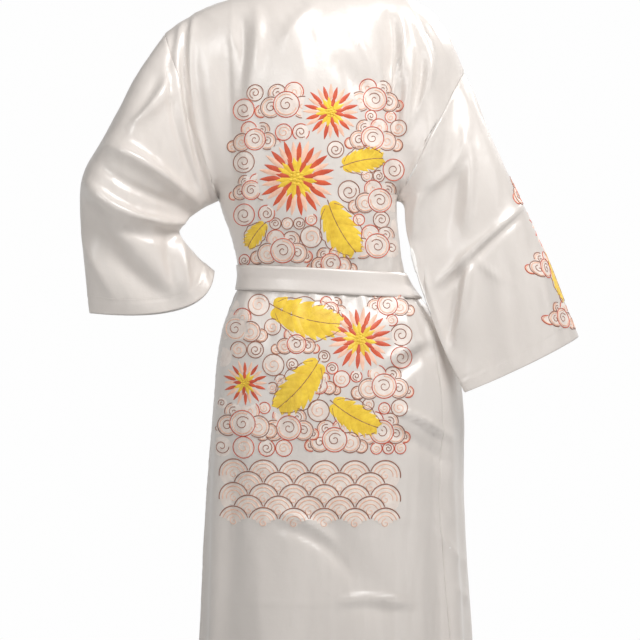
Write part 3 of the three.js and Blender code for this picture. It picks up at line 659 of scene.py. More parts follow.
def fold_height(points, normals, on, table):
    """How much the folds of a table lift the cloth of one piece."""
    p, n = points.reshape(-1, 3), normals.reshape(-1, 3)
    near_belt = 1 - hump(p[:, 2] - BELT_HEIGHT, BELT_HOLDS)
    free = np.where((p[:, 0] > SLEEVES_FROM[0]) | (p[:, 0] < SLEEVES_FROM[1]), 1, near_belt)
    total = np.zeros(len(p))
    s = steps(FOLD_STEPS)
    where, side = "all", 1
    for row in table:
        if len(row) == 2:
            where, side = row
            continue
        if where not in ("all", on):
            continue
        x1, z1, xm, zm, x2, z2, width, height, sharp, lean = (*row, 0, 0)[:10]
        x = x1 * (1 - s) ** 2 + 2 * xm * s * (1 - s) + x2 * s * s
        z = z1 * (1 - s) ** 2 + 2 * zm * s * (1 - s) + z2 * s * s
        pad = FOLD_REACH * width
        near = (p[:, 0] > x.min() - pad) & (p[:, 0] < x.max() + pad)
        near &= (p[:, 2] > z.min() - pad) & (p[:, 2] < z.max() + pad)
        near &= n[:, 1] * side > FOLD_FACING[0]
        i = np.nonzero(near)[0]
        if len(i) == 0:
            continue
        best = np.hypot(p[i, 0:1] - x, p[i, 2:3] - z).argmin(1)
        tx, tz = np.gradient(x)[best], np.gradient(z)[best]
        dx, dz = p[i, 0] - x[best], p[i, 2] - z[best]
        past = (dx * tx + dz * tz) / (tx * tx + tz * tz)
        past = np.clip(past, np.where(best == 0, 0, -0.6), np.where(best == len(s) - 1, 0, 0.6))
        across = tx * dz - tz * dx
        wide = width * np.where(across > 0, 1 + lean, 1 - lean)
        along = clamp01(s[best] + past * s[1])
        taper = np.sqrt(np.maximum(0, np.sin(PI * (0.04 + 0.92 * along))))
        apart = np.hypot(dx - past * tx, dz - past * tz)
        facing = ease(n[i, 1] * side, *FOLD_FACING)
        total[i] += facing * free[i] * height * taper * crest(apart / wide, sharp)
    return total.reshape(points.shape[:2])


WAVES = (
    # amplitude, wavelength across, wavelength down, phase, slant
    (0.35, 61, 340, 0.3, 0.1),
    (0.28, 43, 210, 1.9, -0.2),
    (0.20, 27, 150, 4.1, 0.3),
    (0.24, 83, 96, 2.6, 0.8),
    (0.14, 19, 70, 5.2, -0.6),
)


def ripples(points):
    """Low uneven waves all over the cloth, longer up and down than across."""
    x, y, z = np.moveaxis(points, -1, 0)
    round_body = x + 0.7 * y
    total = np.zeros(x.shape)
    for size, across, down, start, slant in WAVES:
        phase = 2 * PI * (round_body / across + slant * z / across / 3)
        swell = 0.5 + 0.5 * np.cos(2 * PI * (z / down + 0.37 * round_body / across) + 2 * start)
        total += size * np.cos(phase + start + 0.8 * np.sin(z / down * 3.1)) * swell
    return total


def gathers(points):
    """Short upright pleats where the belt draws the cloth in."""
    x, y, z = np.moveaxis(points, -1, 0)
    turn = np.arctan2(y, x + 8)
    off = z - BELT_HEIGHT
    reach = np.where(off > 0, 38, 62)
    fade = hump(off, reach) * ease(np.abs(off), 10, 26)
    return wavy(turn, (1, 17, 0.5), (0.8, 26, 2.2), (0.5, 41, 1.1)) * fade


def along(points, axis):
    """Distances over a grid's rows (axis 0) or columns (1), from the first and from the last."""
    step = np.linalg.norm(np.diff(points, axis=axis), axis=-1)
    done = np.concatenate([np.zeros_like(step.take([0], axis)), np.cumsum(step, axis)], axis)
    return done, done.take([-1], axis) - done


def seam_form(distance, points):
    """The dip of a seam, the allowance pressed under it, and small puckers beside it."""
    along = points[..., 2] + 0.6 * points[..., 0]
    dip = -0.6 * hump(distance, 1.7) + 0.28 * hump(distance - 5, 4)
    wave = wavy(along, (1, 0.47, 0), (0.7, 0.29, 1.3), (0.6, 0.81, 0.4))
    return dip + 0.26 * wave * hump(distance, 11) * (1 - hump(distance, 2))


def hem_form(distance, points):
    """A turned-up hem: a round edge, a double thickness and the groove of its stitches."""
    along = points[..., 0] + 0.5 * points[..., 1] + 0.4 * points[..., 2]
    turned = 0.35 * ease(distance, HEM_DEPTH + 2, HEM_DEPTH - 2)
    groove = -0.5 * hump(distance - HEM_DEPTH, 1.6)
    edge = -0.7 * hump(distance, 1.1)
    wave = wavy(along, (1, 0.33, 0), (0.8, 0.21, 2), (0.5, 0.61, 1))
    return turned + groove + edge + 0.25 * wave * hump(distance - HEM_DEPTH, 9)


def level_out(points):
    """A panel's close rows under the arms, laid straight between their neighbours."""
    first = len(LEVELS) - YOKE_ROWS - 2
    last = first + CLOSE_ROWS
    rows = slice(first, last + 1)
    share = (LEVELS[rows] - LEVELS[first]) / (LEVELS[last] - LEVELS[first])
    columns = np.arange(points.shape[1])
    inside = clamp01(np.minimum(columns, columns[::-1]) / CLOSE_EDGE)
    straight = lerp(points[first], points[last], share[:, None, None])
    points[rows] = lerp(points[rows], straight, inside[None, :, None])
    return points


# The sewn pieces.
sewn = {
    "back": back_sheet(),
    "front_left": front_sheet(True),
    "front_right": front_sheet(False),
    "sleeve_left": sleeve_sheet(left_sleeve, len(LEFT_SLEEVE), True),
    "sleeve_right": sleeve_sheet(right_sleeve, len(RIGHT_SLEEVE), False),
    "neck_band": band_sheet(),
}
sheets = list(sewn.values())


def level_panels():
    for name in ("back", "front_left", "front_right"):
        level_out(sewn[name]["points"])


for sheet, normal in zip(sheets, shared_normals(sheets)):
    lift = FOLD_GAIN * fold_height(sheet["points"], normal, sheet["on"], FOLDS)
    sheet["points"] = sheet["points"] + normal * lift[..., None]
level_panels()

for name, sheet, normal in zip(sewn, sheets, shared_normals(sheets)):
    points = sheet["points"]
    lift = CREASE_GAIN * fold_height(points, normal, sheet["on"], CREASES)
    lift = lift + RIPPLE_GAIN * ripples(points)
    lift = lift + fold_height(points, normal, sheet["on"], PRESSED)
    if sheet["on"] == "body":
        lift = lift + gathers(points)
    below, above = along(points, 0)
    if sheet["on"] == "body":
        before, after = along(points, 1)
        if name == "neck_band":
            lift = lift + seam_form(before, points) - 0.8 * hump(after, 1.3)
            lift = lift - 0.4 * hump(after - BAND_STITCH, 1.2) + 0.3 * ease(after, BAND_STITCH, 9)
        else:
            for distance in (before, after, above):
                lift = lift + seam_form(distance, points)
            lift = lift + hem_form(below, points)
    else:
        lift = lift + seam_form(below, points) + hem_form(above, points)
    sheet["below"], sheet["above"] = below, above
    sheet["points"] = points + normal * lift[..., None]
level_panels()
for sheet, normal in zip(sheets, shared_normals(sheets)):
    sheet["normals"] = normal


def turned(faces, flip):
    return faces[:, ::-1] if flip else faces


def quads(height, width, closed, flip, offset=0):
    across = np.arange(width if closed else width - 1)
    i, j = np.meshgrid(np.arange(height - 1), across, indexing="ij")
    k = (j + 1) % width
    faces = np.stack([i * width + j, i * width + k, (i + 1) * width + k, (i + 1) * width + j], -1)
    return turned(faces.reshape(-1, 4) + offset, flip)


def put(name, data):
    obj = bpy.data.objects.new(name, data)
    bpy.context.scene.collection.objects.link(obj)
    return obj


def make_mesh(name, verts, faces, uvs, parts=None):
    """An object of quads, in metres, smooth, with a map of the cloth in metres."""
    mesh = bpy.data.meshes.new(name)
    mesh.vertices.add(len(verts))
    mesh.vertices.foreach_set("co", (np.asarray(verts) * MM).astype(np.float32).ravel())
    mesh.loops.add(4 * len(faces))
    mesh.loops.foreach_set("vertex_index", np.asarray(faces, np.int32).ravel())
    mesh.polygons.add(len(faces))
    mesh.polygons.foreach_set("loop_start", np.arange(0, 4 * len(faces), 4, dtype=np.int32))
    mesh.polygons.foreach_set("use_smooth", np.ones(len(faces), bool))
    if parts is not None:
        mesh.polygons.foreach_set("material_index", np.asarray(parts, np.int32))
    mesh.update(calc_edges=True)
    mesh.validate()
    layer = mesh.uv_layers.new(name="cloth")
    corners = np.asarray(uvs)[np.asarray(faces).ravel()] * MM
    layer.data.foreach_set("uv", corners.astype(np.float32).ravel())
    return put(name, mesh)


def shell(name, sheet, wall, materials):
    """A thin wall of cloth: the sheet outside, the same one moved in, and its edges."""
    points, normals = sheet["points"], sheet["normals"]
    flip, closed = sheet["flip"], sheet.get("closed", False)
    height, width = points.shape[:2]
    inside = height * width
    thick = sheet.get("walls", wall * np.ones((height, width)))[..., None]
    verts = np.concatenate([points.reshape(-1, 3), (points - normals * thick).reshape(-1, 3)])
    faces = [quads(height, width, closed, flip), quads(height, width, closed, not flip, inside)]
    columns = np.arange(width if closed else width - 1)
    following = (columns + 1) % width
    bottom = np.stack([columns + inside, following + inside, following, columns], -1)
    top = bottom + (height - 1) * width
    rims = [turned(bottom, flip), turned(top, not flip)]
    if not closed:
        rows = np.arange(height - 1) * width
        first = np.stack([rows + width + inside, rows + inside, rows, rows + width], -1)
        last = first + width - 1
        rims += [turned(first, flip), turned(last, not flip)]
    faces = np.concatenate(faces + rims)
    parts = np.zeros(len(faces), int)
    quads_outside = (height - 1) * (width if closed else width - 1)
    parts[quads_outside : 2 * quads_outside] = 1
    uvs = np.stack([along(points, 1)[0], along(points, 0)[0]], -1).reshape(-1, 2)
    obj = make_mesh(name, verts, faces, np.concatenate([uvs, uvs]), parts)
    for material in materials:
        obj.data.materials.append(material)
    return obj


# Materials. How fine the marks are along the two directions of the cloth, to a metre.
FLOATS, SLUBS, STRANDS = (4200, 620, 1), (900, 26, 1), (260, 2400, 1)


def material(name):
    made = bpy.data.materials.new(name)
    made.use_nodes = True
    nodes = made.node_tree.nodes
    return made, nodes, made.node_tree.links, nodes["Principled BSDF"]


def preset(node, values):
    for socket, value in values.items():
        node.inputs[socket].default_value = value


def noise(nodes, links, vector, scale, detail, rough, stretch=None):
    node = nodes.new("ShaderNodeTexNoise")
    preset(node, {"Scale": scale, "Detail": detail, "Roughness": rough})
    if stretch is not None:
        mapping = nodes.new("ShaderNodeMapping")
        preset(mapping, {"Scale": stretch})
        links.new(vector, mapping.inputs["Vector"])
        vector = mapping.outputs["Vector"]
    links.new(vector, node.inputs["Vector"])
    return node.outputs["Fac"]


def ramp(nodes, links, value, low, high, start=0.3, end=0.7):
    node = nodes.new("ShaderNodeMapRange")
    preset(node, {"From Min": start, "From Max": end, "To Min": low, "To Max": high})
    links.new(value, node.inputs["Value"])
    return node.outputs["Result"]


def blend_colour(nodes, links, value, first, second):
    node = nodes.new("ShaderNodeMix")
    node.data_type = "RGBA"
    preset(node, {6: (*first, 1), 7: (*second, 1)})
    links.new(value, node.inputs[0])
    return node.outputs[2]


def bump(nodes, links, height, distance, strength, under=None):
    node = nodes.new("ShaderNodeBump")
    preset(node, {"Distance": distance, "Strength": strength})
    links.new(height, node.inputs["Height"])
    if under is not None:
        links.new(under, node.inputs["Normal"])
    return node.outputs["Normal"]


def satin(name, light, dark, rough_low, rough_high, sheen=0.12, anisotropy=0.35):
    """Woven satin: long floats along the warp, faint slubs, small creases and an uneven sheen."""
    made, nodes, links, shader = material(name)
    coords = nodes.new("ShaderNodeTexCoord")
    uv, place = coords.outputs["UV"], coords.outputs["Object"]
    floats = noise(nodes, links, uv, 1.0, 1.0, 0.4, FLOATS)
    slubs = noise(nodes, links, uv, 1.0, 2.0, 0.5, SLUBS)
    crinkle = noise(nodes, links, place, 46, 3.0, 0.55)
    tone = noise(nodes, links, place, 7, 3.0, 0.6)
    mixed = nodes.new("ShaderNodeMath")
    mixed.operation = "MULTIPLY_ADD"
    preset(mixed, {1: 0.35})
    links.new(slubs, mixed.inputs[0])
    links.new(tone, mixed.inputs[2])
    share = ramp(nodes, links, mixed.outputs[0], 0, 1, 0.3, 1.1)
    links.new(blend_colour(nodes, links, share, dark, light), shader.inputs["Base Color"])
    links.new(ramp(nodes, links, tone, rough_low, rough_high, 0.2, 0.8), shader.inputs["Roughness"])
    wrinkled = bump(nodes, links, crinkle, 0.0012, 0.55)
    woven = bump(nodes, links, floats, 0.00008, 0.5, wrinkled)
    links.new(bump(nodes, links, slubs, 0.00006, 0.5, woven), shader.inputs["Normal"])
    gloss = {"Specular IOR Level": 0.95, "Anisotropic": anisotropy}
    preset(shader, {**gloss, "Sheen Weight": sheen, "Sheen Roughness": 0.35})
    return made


def thread(name, light, dark, rough=0.42):
    """Embroidery thread: fine shining strands that lie side by side across each form."""
    made, nodes, links, shader = material(name)
    coords = nodes.new("ShaderNodeTexCoord")
    uv, place = coords.outputs["UV"], coords.outputs["Object"]
    strands = noise(nodes, links, uv, 1.0, 1.5, 0.5, STRANDS)
    tone = noise(nodes, links, place, 60, 3.0, 0.6)
    share = ramp(nodes, links, tone, 0, 1)
    links.new(blend_colour(nodes, links, share, dark, light), shader.inputs["Base Color"])
    links.new(ramp(nodes, links, strands, rough - 0.08, rough + 0.12), shader.inputs["Roughness"])
    links.new(bump(nodes, links, strands, 0.0003, 0.8), shader.inputs["Normal"])
    preset(shader, {"Sheen Weight": 0.2})
    return made


SATIN = satin("satin_face", (0.67, 0.62, 0.58), (0.61, 0.56, 0.52), 0.3, 0.4)
SATIN_BACK = satin("satin_back", (0.78, 0.76, 0.735), (0.71, 0.69, 0.665), 0.55, 0.7, 0.3, 0.0)
BAND_SATIN, BELT_SATIN = (
    satin(name, (0.69, 0.64, 0.6), (0.64, 0.585, 0.545), 0.3, 0.4)
    for name in ("band_satin_face", "belt_satin_face")
)
GOLD = thread("gold_silk", (0.88, 0.62, 0.045), (0.68, 0.42, 0.02))
RED = thread("red_silk", (0.66, 0.10, 0.03), (0.46, 0.05, 0.02))
PEACH = thread("peach_silk", (0.86, 0.56, 0.42), (0.72, 0.40, 0.28))
CREAM = thread("cream_silk", (0.80, 0.72, 0.66), (0.68, 0.58, 0.52), 0.36)
BROWN = thread("brown_silk", (0.36, 0.13, 0.07), (0.22, 0.08, 0.045))

pieces = {}
for name, sheet in sewn.items():
    face = BAND_SATIN if name == "neck_band" else SATIN
    wall = BAND_WALL if name == "neck_band" else CLOTH_WALL
    piece = shell(name + "_cloth", sheet, wall, [face, SATIN_BACK])
    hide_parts(name)
    pieces[name] = piece


def belt_sheet():
    """The sash round the waist, with a slight fold and two creases along it and rounded edges."""
    turns = 2 * PI * steps(BELT_TURNS)[:-1]
    share = close_ends(BELT_COLUMNS, 0, 0)
    drop = (share - 0.5)[:, None] * BELT_WIDTH
    right = body["right"](BELT_HEIGHT - HEM_Z)
    tilt = BELT_TILT * right * -np.cos(turns)[None, :]
    edge = np.abs(2 * share - 1)[:, None]
    fold = 0.5 * np.cos(5 * turns + 4 * share[:, None]) * np.cos(PI * (share[:, None] - 0.5))
    line = 0.45 * crest((share[:, None] - 0.36 - 0.05 * np.cos(3 * turns)) / 0.05, 0.5)
    second = 0.4 * crest((share[:, None] - 0.7 - 0.04 * np.cos(2 * turns + 1)) / 0.05, 0.5)
    height = BELT_STAND + belt_lap(turns)[None, :] + fold + line + second - 0.9 * edge**12
    points = above_body(turns[None, :] + 0 * drop, BELT_HEIGHT + drop + tilt, height)
    return {"points": points, "flip": False, "closed": True}


def knot_sheet():
    """The knot: a cushion of slanting pleats with two deeper grooves where the sash wraps it."""
    u, v = 2 * steps(36) - 1, 2 * steps(34) - 1
    across, up = np.meshgrid(u, v)
    swell = np.sqrt(np.maximum(0, (1 - across**4) * (1 - up**4)))
    radius = abs(body["front"](BELT_HEIGHT - HEM_Z)) + TIED_REACH
    turn = np.radians(KNOT_TURN) + across * KNOT_WIDTH / 2 / radius
    stand = BELT_STAND + belt_lap(turn) + 0.8
    slant = across * 0.8 + up * 0.45
    pleats = wavy(slant, (1.3, 9, 0.6), (0.7, 16, 2))
    wrap = -2.4 * hump(across - 0.2 * up - 0.42, 0.09)
    wrap += -2.0 * hump(across - 0.1 * up + 0.5, 0.08)
    rise = KNOT_EDGE + KNOT_RISE * swell + (pleats + wrap) * swell
    points = above_body(turn, BELT_HEIGHT + up * KNOT_HEIGHT / 2, stand + rise)
    return {"points": points, "flip": False, "walls": rise}


def tail_sheet(tail, start):
    """An end of the sash, gathered in pleats under the knot and spread below it."""
    top = BELT_HEIGHT - KNOT_HEIGHT / 2 - 0.4
    s = steps(110)[:, None]
    t = close_ends(14, 0, 0)[None, :]
    z = lerp(tail["end"], top, s) + 0 * t
    turn = np.radians(lerp(tail["turn"], tail["top"], s))
    gather = ease(s, TAIL_GATHERED_FROM, 1)
    width = TAIL_WIDTH * lerp(1, TAIL_GATHERED, gather)
    spread = (t - 0.5) * width / (np.abs(body["front"](z - HEM_Z)) + TIED_REACH)
    gathered = ease(s, 0.55, 1)
    pleat = 0.9 * gathered * np.cos(3 * PI * t + start) + 0.5 * np.cos(9 * s + 5 * t + start)
    edge = -0.7 * np.abs(2 * t - 1) ** 12
    lift = LAP + TAIL_STAND + lerp(tail["fall"], TAIL_HOLD, gather) + pleat + edge
    return {"points": above_body(turn + spread, z, lift + 0 * z), "flip": False}


tied = {"belt": belt_sheet(), "belt_knot": knot_sheet()}
for start, (name, tail) in enumerate(TAILS.items()):
    tied[name] = tail_sheet(tail, start)
for name, sheet in tied.items():
    sheet["normals"] = shared_normals([sheet])[0]
    piece = shell(name + "_cloth", sheet, BELT_WALL, [BELT_SATIN, BELT_SATIN])
    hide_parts(name)
    pieces[name] = piece


# Thread forms are gathered by colour and made into one piece each.
class Threads:
    def __init__(self):
        self.verts, self.faces, self.uvs, self.count = [], [], [], 0

    def add(self, points, uv, keep=None):
        """A grid of points in the robe's frame, and which of its faces are kept."""
        height, width = points.shape[:2]
        self.verts.append(points[:, ::-1].reshape(-1, 3))
        self.uvs.append(uv[:, ::-1].reshape(-1, 2))
        faces = quads(height, width, False, False, self.count)
        self.faces.append(faces if keep is None else faces[keep[:, ::-1].ravel()])
        self.count += height * width

    def make(self, name, colour):
        piece = make_mesh(
            name, np.concatenate(self.verts), np.concatenate(self.faces), np.concatenate(self.uvs)
        )
        piece.data.materials.append(colour)
        return piece


SECTION = np.array([-1.0, -0.6, 0.0, 0.6, 1.0])
SECTION_LIFT = np.array([-0.25, 0.7, 1.0, 0.7, -0.25])


def laid_thread(threads, points, normals, width, height, base=0.0):
    """A half-round thread along a line of points, on the cloth or on what is stitched there."""
    points = points + normals * base
    tangent = unit(np.gradient(points, axis=0))
    side = unit(np.cross(tangent, normals))
    grid = points[:, None] + side[:, None] * (SECTION * width / 2)[None, :, None]
    grid = grid + normals[:, None] * (SECTION_LIFT * height)[None, :, None]
    length, _ = along(points, 0)
    uv = np.stack(np.broadcast_arrays(SECTION[None, :] * width, length[:, None]), -1)
    threads.add(grid, uv)


def stitch_run(threads, points, normals, stitch=3.0, gap=0.9, width=0.7, height=0.28):
    """A row of machine stitches along a line on the cloth."""
    length, _ = along(points, 0)
    count = int(length[-1] // (stitch + gap))
    for k in range(count):
        at = (k + 0.5) * (stitch + gap) + (np.array([0, 0.2, 0.5, 0.8, 1]) - 0.5) * stitch
        line = np.stack([np.interp(at, length, points[:, c]) for c in range(3)], -1)
        up = unit(np.stack([np.interp(at, length, normals[:, c]) for c in range(3)], -1))
        sunk = np.array([-0.3, 0.1, 0.2, 0.1, -0.3])
        laid_thread(threads, line + up * sunk[:, None] * height, up, width, height)


seam_thread = Threads()
for name, sheet in sewn.items():
    points, normals = sheet["points"], sheet["normals"]
    if name == "neck_band":
        _, after = along(points, 1)
        column = int(np.abs(after.mean(0) - BAND_STITCH).argmin())
        stitch_run(seam_thread, points[:, column], normals[:, column])
        continue
    from_hem = sheet["below"] if sheet["on"] == "body" else sheet["above"]
    row = int(np.abs(from_hem.mean(1) - HEM_DEPTH).argmin())
    line, up = points[row], normals[row]
    if sheet.get("closed"):
        line, up = np.concatenate([line, line[:1]]), np.concatenate([up, up[:1]])
    stitch_run(seam_thread, line, up)


# How far the cloth has to face the design, and how far outside the cloth the design is held.
FACES_PLAN, OUTSIDE = 0.3, 500


class Ground:
    """Cloth that a flat design is laid on, looking along one direction."""

    def __init__(self, sheet, origin, right, up):
        points = sheet["points"]
        height, width = points.shape[:2]
        faces = quads(height, width, sheet.get("closed", False), sheet["flip"])
        self.tree = BVHTree.FromPolygons(points.reshape(-1, 3).tolist(), faces.tolist())
        self.origin, self.right, self.up = (np.array(v, float) for v in (origin, right, up))
        self.right, self.up = unit(self.right), unit(self.up)
        self.out = np.cross(self.right, self.up)

    def lay(self, plan):
        """Points and normals on the cloth under plan points, and whether each one was met."""
        flat = plan.reshape(-1, 2)
        start = self.origin + flat[:, :1] * self.right + flat[:, 1:] * self.up + self.out * OUTSIDE
        points, normals = np.zeros((2, len(flat), 3))
        met = np.zeros(len(flat), bool)
        down = Vector(-self.out)
        for k, p in enumerate(start):
            hit, normal, _, _ = self.tree.ray_cast(Vector(p), down)
            if hit is not None:
                points[k], normals[k] = hit, normal
                if normals[k] @ self.out < 0:
                    normals[k] *= -1
                met[k] = normals[k] @ self.out > FACES_PLAN
        shape = plan.shape[:-1]
        return points.reshape(*shape, 3), normals.reshape(*shape, 3), met.reshape(shape)


def line_on(ground, threads, plan, width, height, base=0.0):
    """A line of the design in laid thread, left out where the cloth isn't met."""
    points, normals, met = ground.lay(plan)
    if len(points) > 2 and met.all():
        laid_thread(threads, points, normals, width, height, base)


# How high a filling stands at its middle, how deep a line sinks into it, and a line's height.
PUFF, LINE_SINKS, LINE_HEIGHT = 0.45, 0.12, 0.7


def round_at(centre, radius, angle):
    return np.stack([centre[0] + radius * np.cos(angle), centre[1] + radius * np.sin(angle)], -1)


def puff_on(ground, threads, centre, radius, covers):
    """A low round filling of close stitches, left out under what lies over it."""
    share = np.array([0, 0.25, 0.5, 0.72, 0.88, 0.96, 1])[:, None]
    angle = np.linspace(0, 2 * PI, 25)[None, :]
    plan = round_at(centre, radius * share, angle)
    points, normals, met = ground.lay(plan)
    middle = (plan[:-1, :-1] + plan[1:, 1:]) / 2
    keep = met[:-1, :-1] & met[1:, 1:] & met[:-1, 1:] & met[1:, :-1]
    for x, z, cover in covers:
        keep &= np.hypot(middle[..., 0] - x, middle[..., 1] - z) > cover
    dome = PUFF * (1 - share**6) - 0.1 + 0 * angle
    grid = points + normals * dome[..., None]
    threads.add(grid, plan - np.array(centre), keep)


def petal_on(ground, threads, base, angle, length, width, height, belly=0.6, bend=0.0):
    """A filled petal or leaf from its base, as a low dome of side-by-side stitches."""
    s = np.linspace(0.02, 1, 11)[:, None]
    t = np.linspace(-1, 1, 5)[None, :]
    half = width / 2 * np.sin(PI * s**belly) ** 0.8
    curve = bend * length * (s * s - s)
    along, across = length * s + 0 * t, half * t + curve
    plan = np.stack(
        [
            base[0] + along * np.cos(angle) - across * np.sin(angle),
            base[1] + along * np.sin(angle) + across * np.cos(angle),
        ],
        -1,
    )
    points, normals, met = ground.lay(plan)
    if not met.all():
        return
    dome = height * (1 - t * t) * np.ones_like(s) - 0.12
    grid = points + normals * dome[..., None]
    uv = np.stack([across, along], -1)
    threads.add(grid, uv)


LINE_STEP = 2.6  # From point to point of a line of thread.


def arc(centre, radius, start, end):
    count = max(4, int(abs(end - start) * radius / LINE_STEP))
    return round_at(centre, radius, np.linspace(start, end, count))


def spiral(centre, radius, start, hand, turns=1.35):
    """A scroll that winds in from its rim."""
    s = np.linspace(0, 1, int(turns * 2 * PI * radius * 0.62 / LINE_STEP))
    return round_at(centre, radius * (1 - 0.82 * s), start + hand * turns * 2 * PI * s)


def visible_runs(plan, covers):
    """The stretches of a line outside every circle of a list."""
    free = np.ones(len(plan), bool)
    for x, z, radius in covers:
        free &= np.hypot(plan[:, 0] - x, plan[:, 1] - z) > radius
    runs, start = [], None
    for k, ok in enumerate(free):
        if ok and start is None:
            start = k
        if start is not None and (not ok or k == len(free) - 1):
            end = k + 1 if ok else k
            if end - start > 3:
                runs.append(plan[start:end])
            start = None
    return runs


gold, red, peach, brown, cream = (Threads() for _ in range(5))


def outline(ground, lines, covers):
    """Lines of thread on a filling, left out under what lies over it."""
    for plan, threads, width, height in lines:
        for run in visible_runs(plan, covers):
            line_on(ground, threads, run, width, height, PUFF - LINE_SINKS)


def bloom(ground, centre, radius, petals, covers):
    """A round flower: long narrow petals outside, short ones inside and a knotted middle."""
    covers.append((*centre, radius * 1.02))
    puff_on(ground, gold, centre, 0.24 * radius, [])
    width = radius * 0.17
    for k in range(petals):
        angle = 2 * PI * (k + 0.15 * np.sin(3.1 * k)) / petals
        base = round_at(centre, 0.42 * radius, angle)
        size = radius * (0.56 + 0.05 * np.sin(2.3 * k))
        petal_on(ground, red if k % 2 else peach, base, angle, size, width, 0.7, 0.75)
    inner = petals * 2 // 3
    for k in range(inner):
        angle = 2 * PI * (k + 0.4) / inner
        base = round_at(centre, 0.16 * radius, angle)
        petal_on(ground, gold if k % 3 else red, base, angle, radius * 0.4, width, 1.0, 0.7)
    for ring, count in ((0.17, 9), (0.08, 5)):
        for k in range(count):
            x, z = round_at(centre, ring * radius, 2 * PI * k / count)
            size = radius * 0.11
            petal_on(ground, gold, (x - 0.05 * radius, z), 0, size, size, 1.3, 1.0)


LEAF_LOBES, LEAF_STEP = 7, 2.4


def leaf(ground, base, angle, length, width, bend, covers):
    """A golden leaf of long stitched lobes, with a brown rib and edge."""
    direction = np.array([np.cos(angle), np.sin(angle)])
    side = np.array([-direction[1], direction[0]])
    petal_on(ground, gold, base, angle, length, width * 0.5, 0.5, 0.7, bend)
    for k in range(LEAF_LOBES):
        share = (k + 0.5) / LEAF_LOBES
        at = np.array(base) + direction * length * share + side * bend * length * (share**2 - share)
        reach = width / 2 * np.sin(PI * (0.12 + 0.8 * share)) ** 0.7
        covers.append((*at, reach * 0.9))
        for hand in (-1, 1):
            turn = angle + hand * (0.95 - 0.45 * share)
            start = at - direction * length * 0.1
            petal_on(ground, gold, start, turn, reach * 1.5, length * 0.2, 0.8, 0.65, -0.1 * hand)
    s = np.linspace(-0.12, 1, int(length / LEAF_STEP))
    rib = np.array(base) + direction * (length * s)[:, None]
    rib = rib + side * (bend * length * (s**2 - s))[:, None]
    line_on(ground, brown, rib, 1.7, 0.9)
    edge = np.linspace(0, 1, int(length / LEAF_STEP))
    for hand in (-1, 1):
        scallop = 1 + 0.14 * np.abs(np.sin(PI * LEAF_LOBES * edge * 0.5 + 0.4))
        half = hand * width * 0.54 * np.sin(PI * (0.05 + 0.9 * edge)) ** 0.7 * scallop
        rim = np.array(base) + direction * (length * edge)[:, None]
        rim = rim + side * (half + bend * length * (edge**2 - edge))[:, None]
        line_on(ground, brown, rim, 1.6, 0.8)


CLOUD_LOBES = (
    # place across and up, radius and where its scroll starts
    (0.0, 0.0, 0.62, 0.6),
    (0.78, -0.14, 0.52, 2.6),
    (-0.74, -0.12, 0.5, 0.2),
    (0.36, 0.6, 0.46, 1.6),
    (-0.44, 0.54, 0.44, 1.2),
    (1.34, -0.34, 0.34, 2.9),
    (-1.22, -0.3, 0.3, 0.4),
)


def cloud(ground, centre, size, hand, covers):
    """A scroll cloud: round lobes that overlap, each filled, outlined and wound in a scroll."""
    own = []
    for k, (dx, dz, r, start) in enumerate(CLOUD_LOBES):
        x, z, radius = centre[0] + hand * dx * size, centre[1] + dz * size, r * size
        over = own + covers
        puff_on(ground, cream, (x, z), radius, over)
        begin, turn = (start, hand) if hand > 0 else (PI - start, hand)
        rim = arc((x, z), radius, begin, begin + 2 * PI)
        inner = arc((x, z), radius * 0.8, begin + 0.5, begin + 1.7 * PI)
        scroll = spiral((x, z), radius * 0.58, begin, turn, 1.3)
        lines = (
            (rim, brown if k % 3 else red, 1.5, LINE_HEIGHT),
            (inner, peach, 2.0, LINE_HEIGHT),
            (scroll, peach if k % 2 else brown, 1.5, LINE_HEIGHT),
        )
        outline(ground, lines, over)
        own.append((x, z, radius * 1.02))
    covers.extend(own)


def scrolls(ground, left, right, bottom, top, radius, covers):
    """Single round scrolls wherever the rest of the design leaves room for them."""
    for row, z in enumerate(np.arange(bottom, top, radius * 0.7)):
        for column, x in enumerate(np.arange(left, right, radius * 0.7)):
            if any(np.hypot(x - a, z - b) < c + 0.86 * radius for a, b, c in covers):
                continue
            start, hand = 0.9 * row + 1.7 * column, 1 if column % 2 else -1
            puff_on(ground, cream, (x, z), radius, covers)
            rim = arc((x, z), radius, start, start + 2 * PI)
            scroll = spiral((x, z), radius * 0.72, start, hand, 1.4)
            lines = (
                (rim, brown if row % 2 else red, 1.5, LINE_HEIGHT),
                (scroll, peach if column % 2 else brown, 1.6, LINE_HEIGHT),
            )
            outline(ground, lines, covers)
            covers.append((x, z, radius * 1.02))


WAVE_RISE = 0.78  # From one row of waves to the next, in radii.
WAVE_ARCS = ((1, brown, 1.8), (0.76, peach, 1.9), (0.5, peach, 1.6))


def waves(ground, left, right, bottom, rows, radius, covers):
    """Rows of filled waves that overlap, each of three arcs and a curl, the lower in front."""
    own = []
    for start, drop in ((left - radius, WAVE_RISE), (left, 1.3)):
        edge = np.arange(start, right + 2 * radius, 2 * radius)
        own += [(x, bottom - drop * radius, radius * 1.02) for x in edge]
    for row in range(rows):
        offset = radius if row % 2 else 0
        centres = np.arange(left + offset, right + 1, 2 * radius)
        z = bottom + row * radius * WAVE_RISE
        for x in centres:
            puff_on(ground, cream, (x, z), radius, own + covers)
            lines = [
                (arc((x, z), radius * share, -0.15, PI + 0.15), threads, width, 0.75)
                for share, threads, width in WAVE_ARCS
            ]
            curl = spiral((x, z), radius * 0.3, PI / 2, 1, 1.1)
            outline(ground, [*lines, (curl, peach, 1.5, LINE_HEIGHT)], own + covers)
        own += [(x, z, radius * 1.03) for x in centres]
    covers.extend(own)


